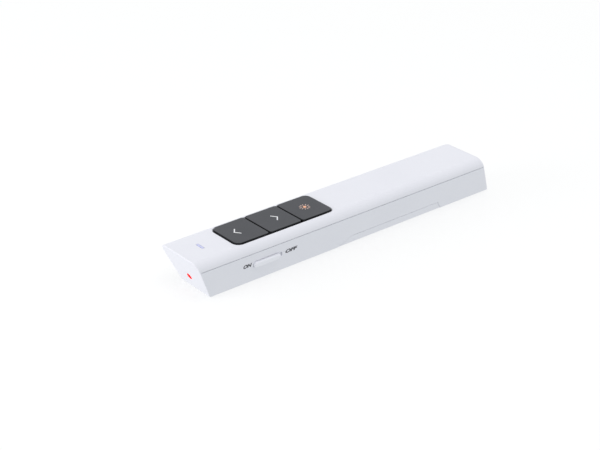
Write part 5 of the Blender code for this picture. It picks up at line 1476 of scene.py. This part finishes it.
# Studio. A white table that the camera sees as plain white but for the object's soft shadow, a
# white surround, and wide lamps before and over the object.

AZIMUTH = 50.12
ELEVATION = 27.14
ROLL = math.radians(0.50)
DISTANCE = 513.7 * MM
ASIDE = 15.96 * MM
RAISED = 4.89 * MM
AIM = Vector((0, 3.45 * MM, 7.86 * MM))
LENS_LENGTH = 86.91
SENSOR = 36.0
FLOOR_SIZE = 3.0
FLOOR_DROP = 0.05 * MM
PALER = 0.6
WHITE = (1.0, 1.0, 1.0, 1.0)
WORLD_STRENGTH = 0.795
SKY_TINT = (0.965, 1.0, 1.0, 1.0)


def direction(azimuth, elevation):
    """The direction from the object to an azimuth and an elevation in degrees."""
    a, e = math.radians(azimuth), math.radians(elevation)
    return Vector((math.sin(a) * math.cos(e), -math.cos(a) * math.cos(e), math.sin(e)))


def aimed(name, data, location, back, roll=0.0):
    """A camera or lamp that looks against a direction."""
    made = linked(name, data)
    made.location = location
    made.rotation_mode = "QUATERNION"
    made.rotation_quaternion = (-back).to_track_quat("-Z", "Y") @ Quaternion((0, 0, 1), roll)
    return made


def math_node(tree, operation, first, second):
    """The result of one operation on two values."""
    return add(tree, "ShaderNodeMath", {0: first, 1: second}, operation=operation)


def seen(tree):
    """One where a surface is looked at, by the camera or through a gloss or a clear part."""
    rays = add(tree, "ShaderNodeLightPath").node.outputs
    looked = math_node(tree, "MAXIMUM", rays["Is Camera Ray"], rays["Is Glossy Ray"])
    return math_node(tree, "MAXIMUM", looked, rays["Is Transmission Ray"])


back = direction(AZIMUTH, ELEVATION)
right = Vector((math.cos(math.radians(AZIMUTH)), math.sin(math.radians(AZIMUTH)), 0))
camera_data = bpy.data.cameras.new("camera")
camera_data.lens = LENS_LENGTH
camera_data.sensor_width = SENSOR
camera_data.clip_start = 10 * MM
eye = AIM + back * DISTANCE - right * ASIDE - back.cross(right) * RAISED
bpy.context.scene.camera = aimed("camera", camera_data, eye, back, ROLL)

floor_mesh = bpy.data.meshes.new("table")
corners = box_outline((-FLOOR_SIZE, -FLOOR_SIZE), (FLOOR_SIZE, FLOOR_SIZE))
floor_mesh.from_pydata(laid(corners, -FLOOR_DROP), [], [(0, 1, 2, 3)])
floor_material, tree, shader, place = new_material("white_table", 0.9, {})
tree.nodes.remove(shader)
looked = seen(tree)
front = math_node(tree, "SUBTRACT", 1.0, add(tree, "ShaderNodeNewGeometry", output="Backfacing"))
shown = math_node(tree, "MULTIPLY", looked, front)
pale = math_node(tree, "MULTIPLY", looked, PALER)
white = add(tree, "ShaderNodeBsdfDiffuse", {"Color": WHITE})
glow = add(tree, "ShaderNodeEmission", {"Color": WHITE, "Strength": 1.0})
clear = add(tree, "ShaderNodeBsdfTransparent")
table_top = add(tree, "ShaderNodeMixShader", {0: pale, 1: white, 2: glow})
mixed = add(tree, "ShaderNodeMixShader", {0: shown, 1: clear, 2: table_top})
fill(tree, tree.nodes["Material Output"], {"Surface": mixed})
floor_mesh.materials.append(floor_material)
linked("table", floor_mesh)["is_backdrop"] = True

world = bpy.data.worlds.new("white_surround")
world.use_nodes = True
tree = world.node_tree
looked = seen(tree)
fill(tree, tree.nodes["Background"], {
    "Strength": ranged(tree, looked, WORLD_STRENGTH, 1.0), "Color": blend(tree, looked, SKY_TINT, WHITE),
})
bpy.context.scene.world = world

for name, azimuth, elevation, distance, size, power, colour in (
    ("front_lamp", -20, 9, 0.9, 0.5, 3.1, (1.0, 0.97, 0.98)),
    ("top_lamp", 95, 76, 1.2, 0.9, 3.3, (1.0, 0.94, 0.95)),
):
    light = bpy.data.lights.new(name, "AREA")
    light.size = size
    light.energy = power
    light.color = colour
    towards = direction(azimuth, elevation)
    aimed(name, light, AIM + towards * distance, towards)

bpy.context.scene.view_settings.view_transform = "Standard"

low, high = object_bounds()
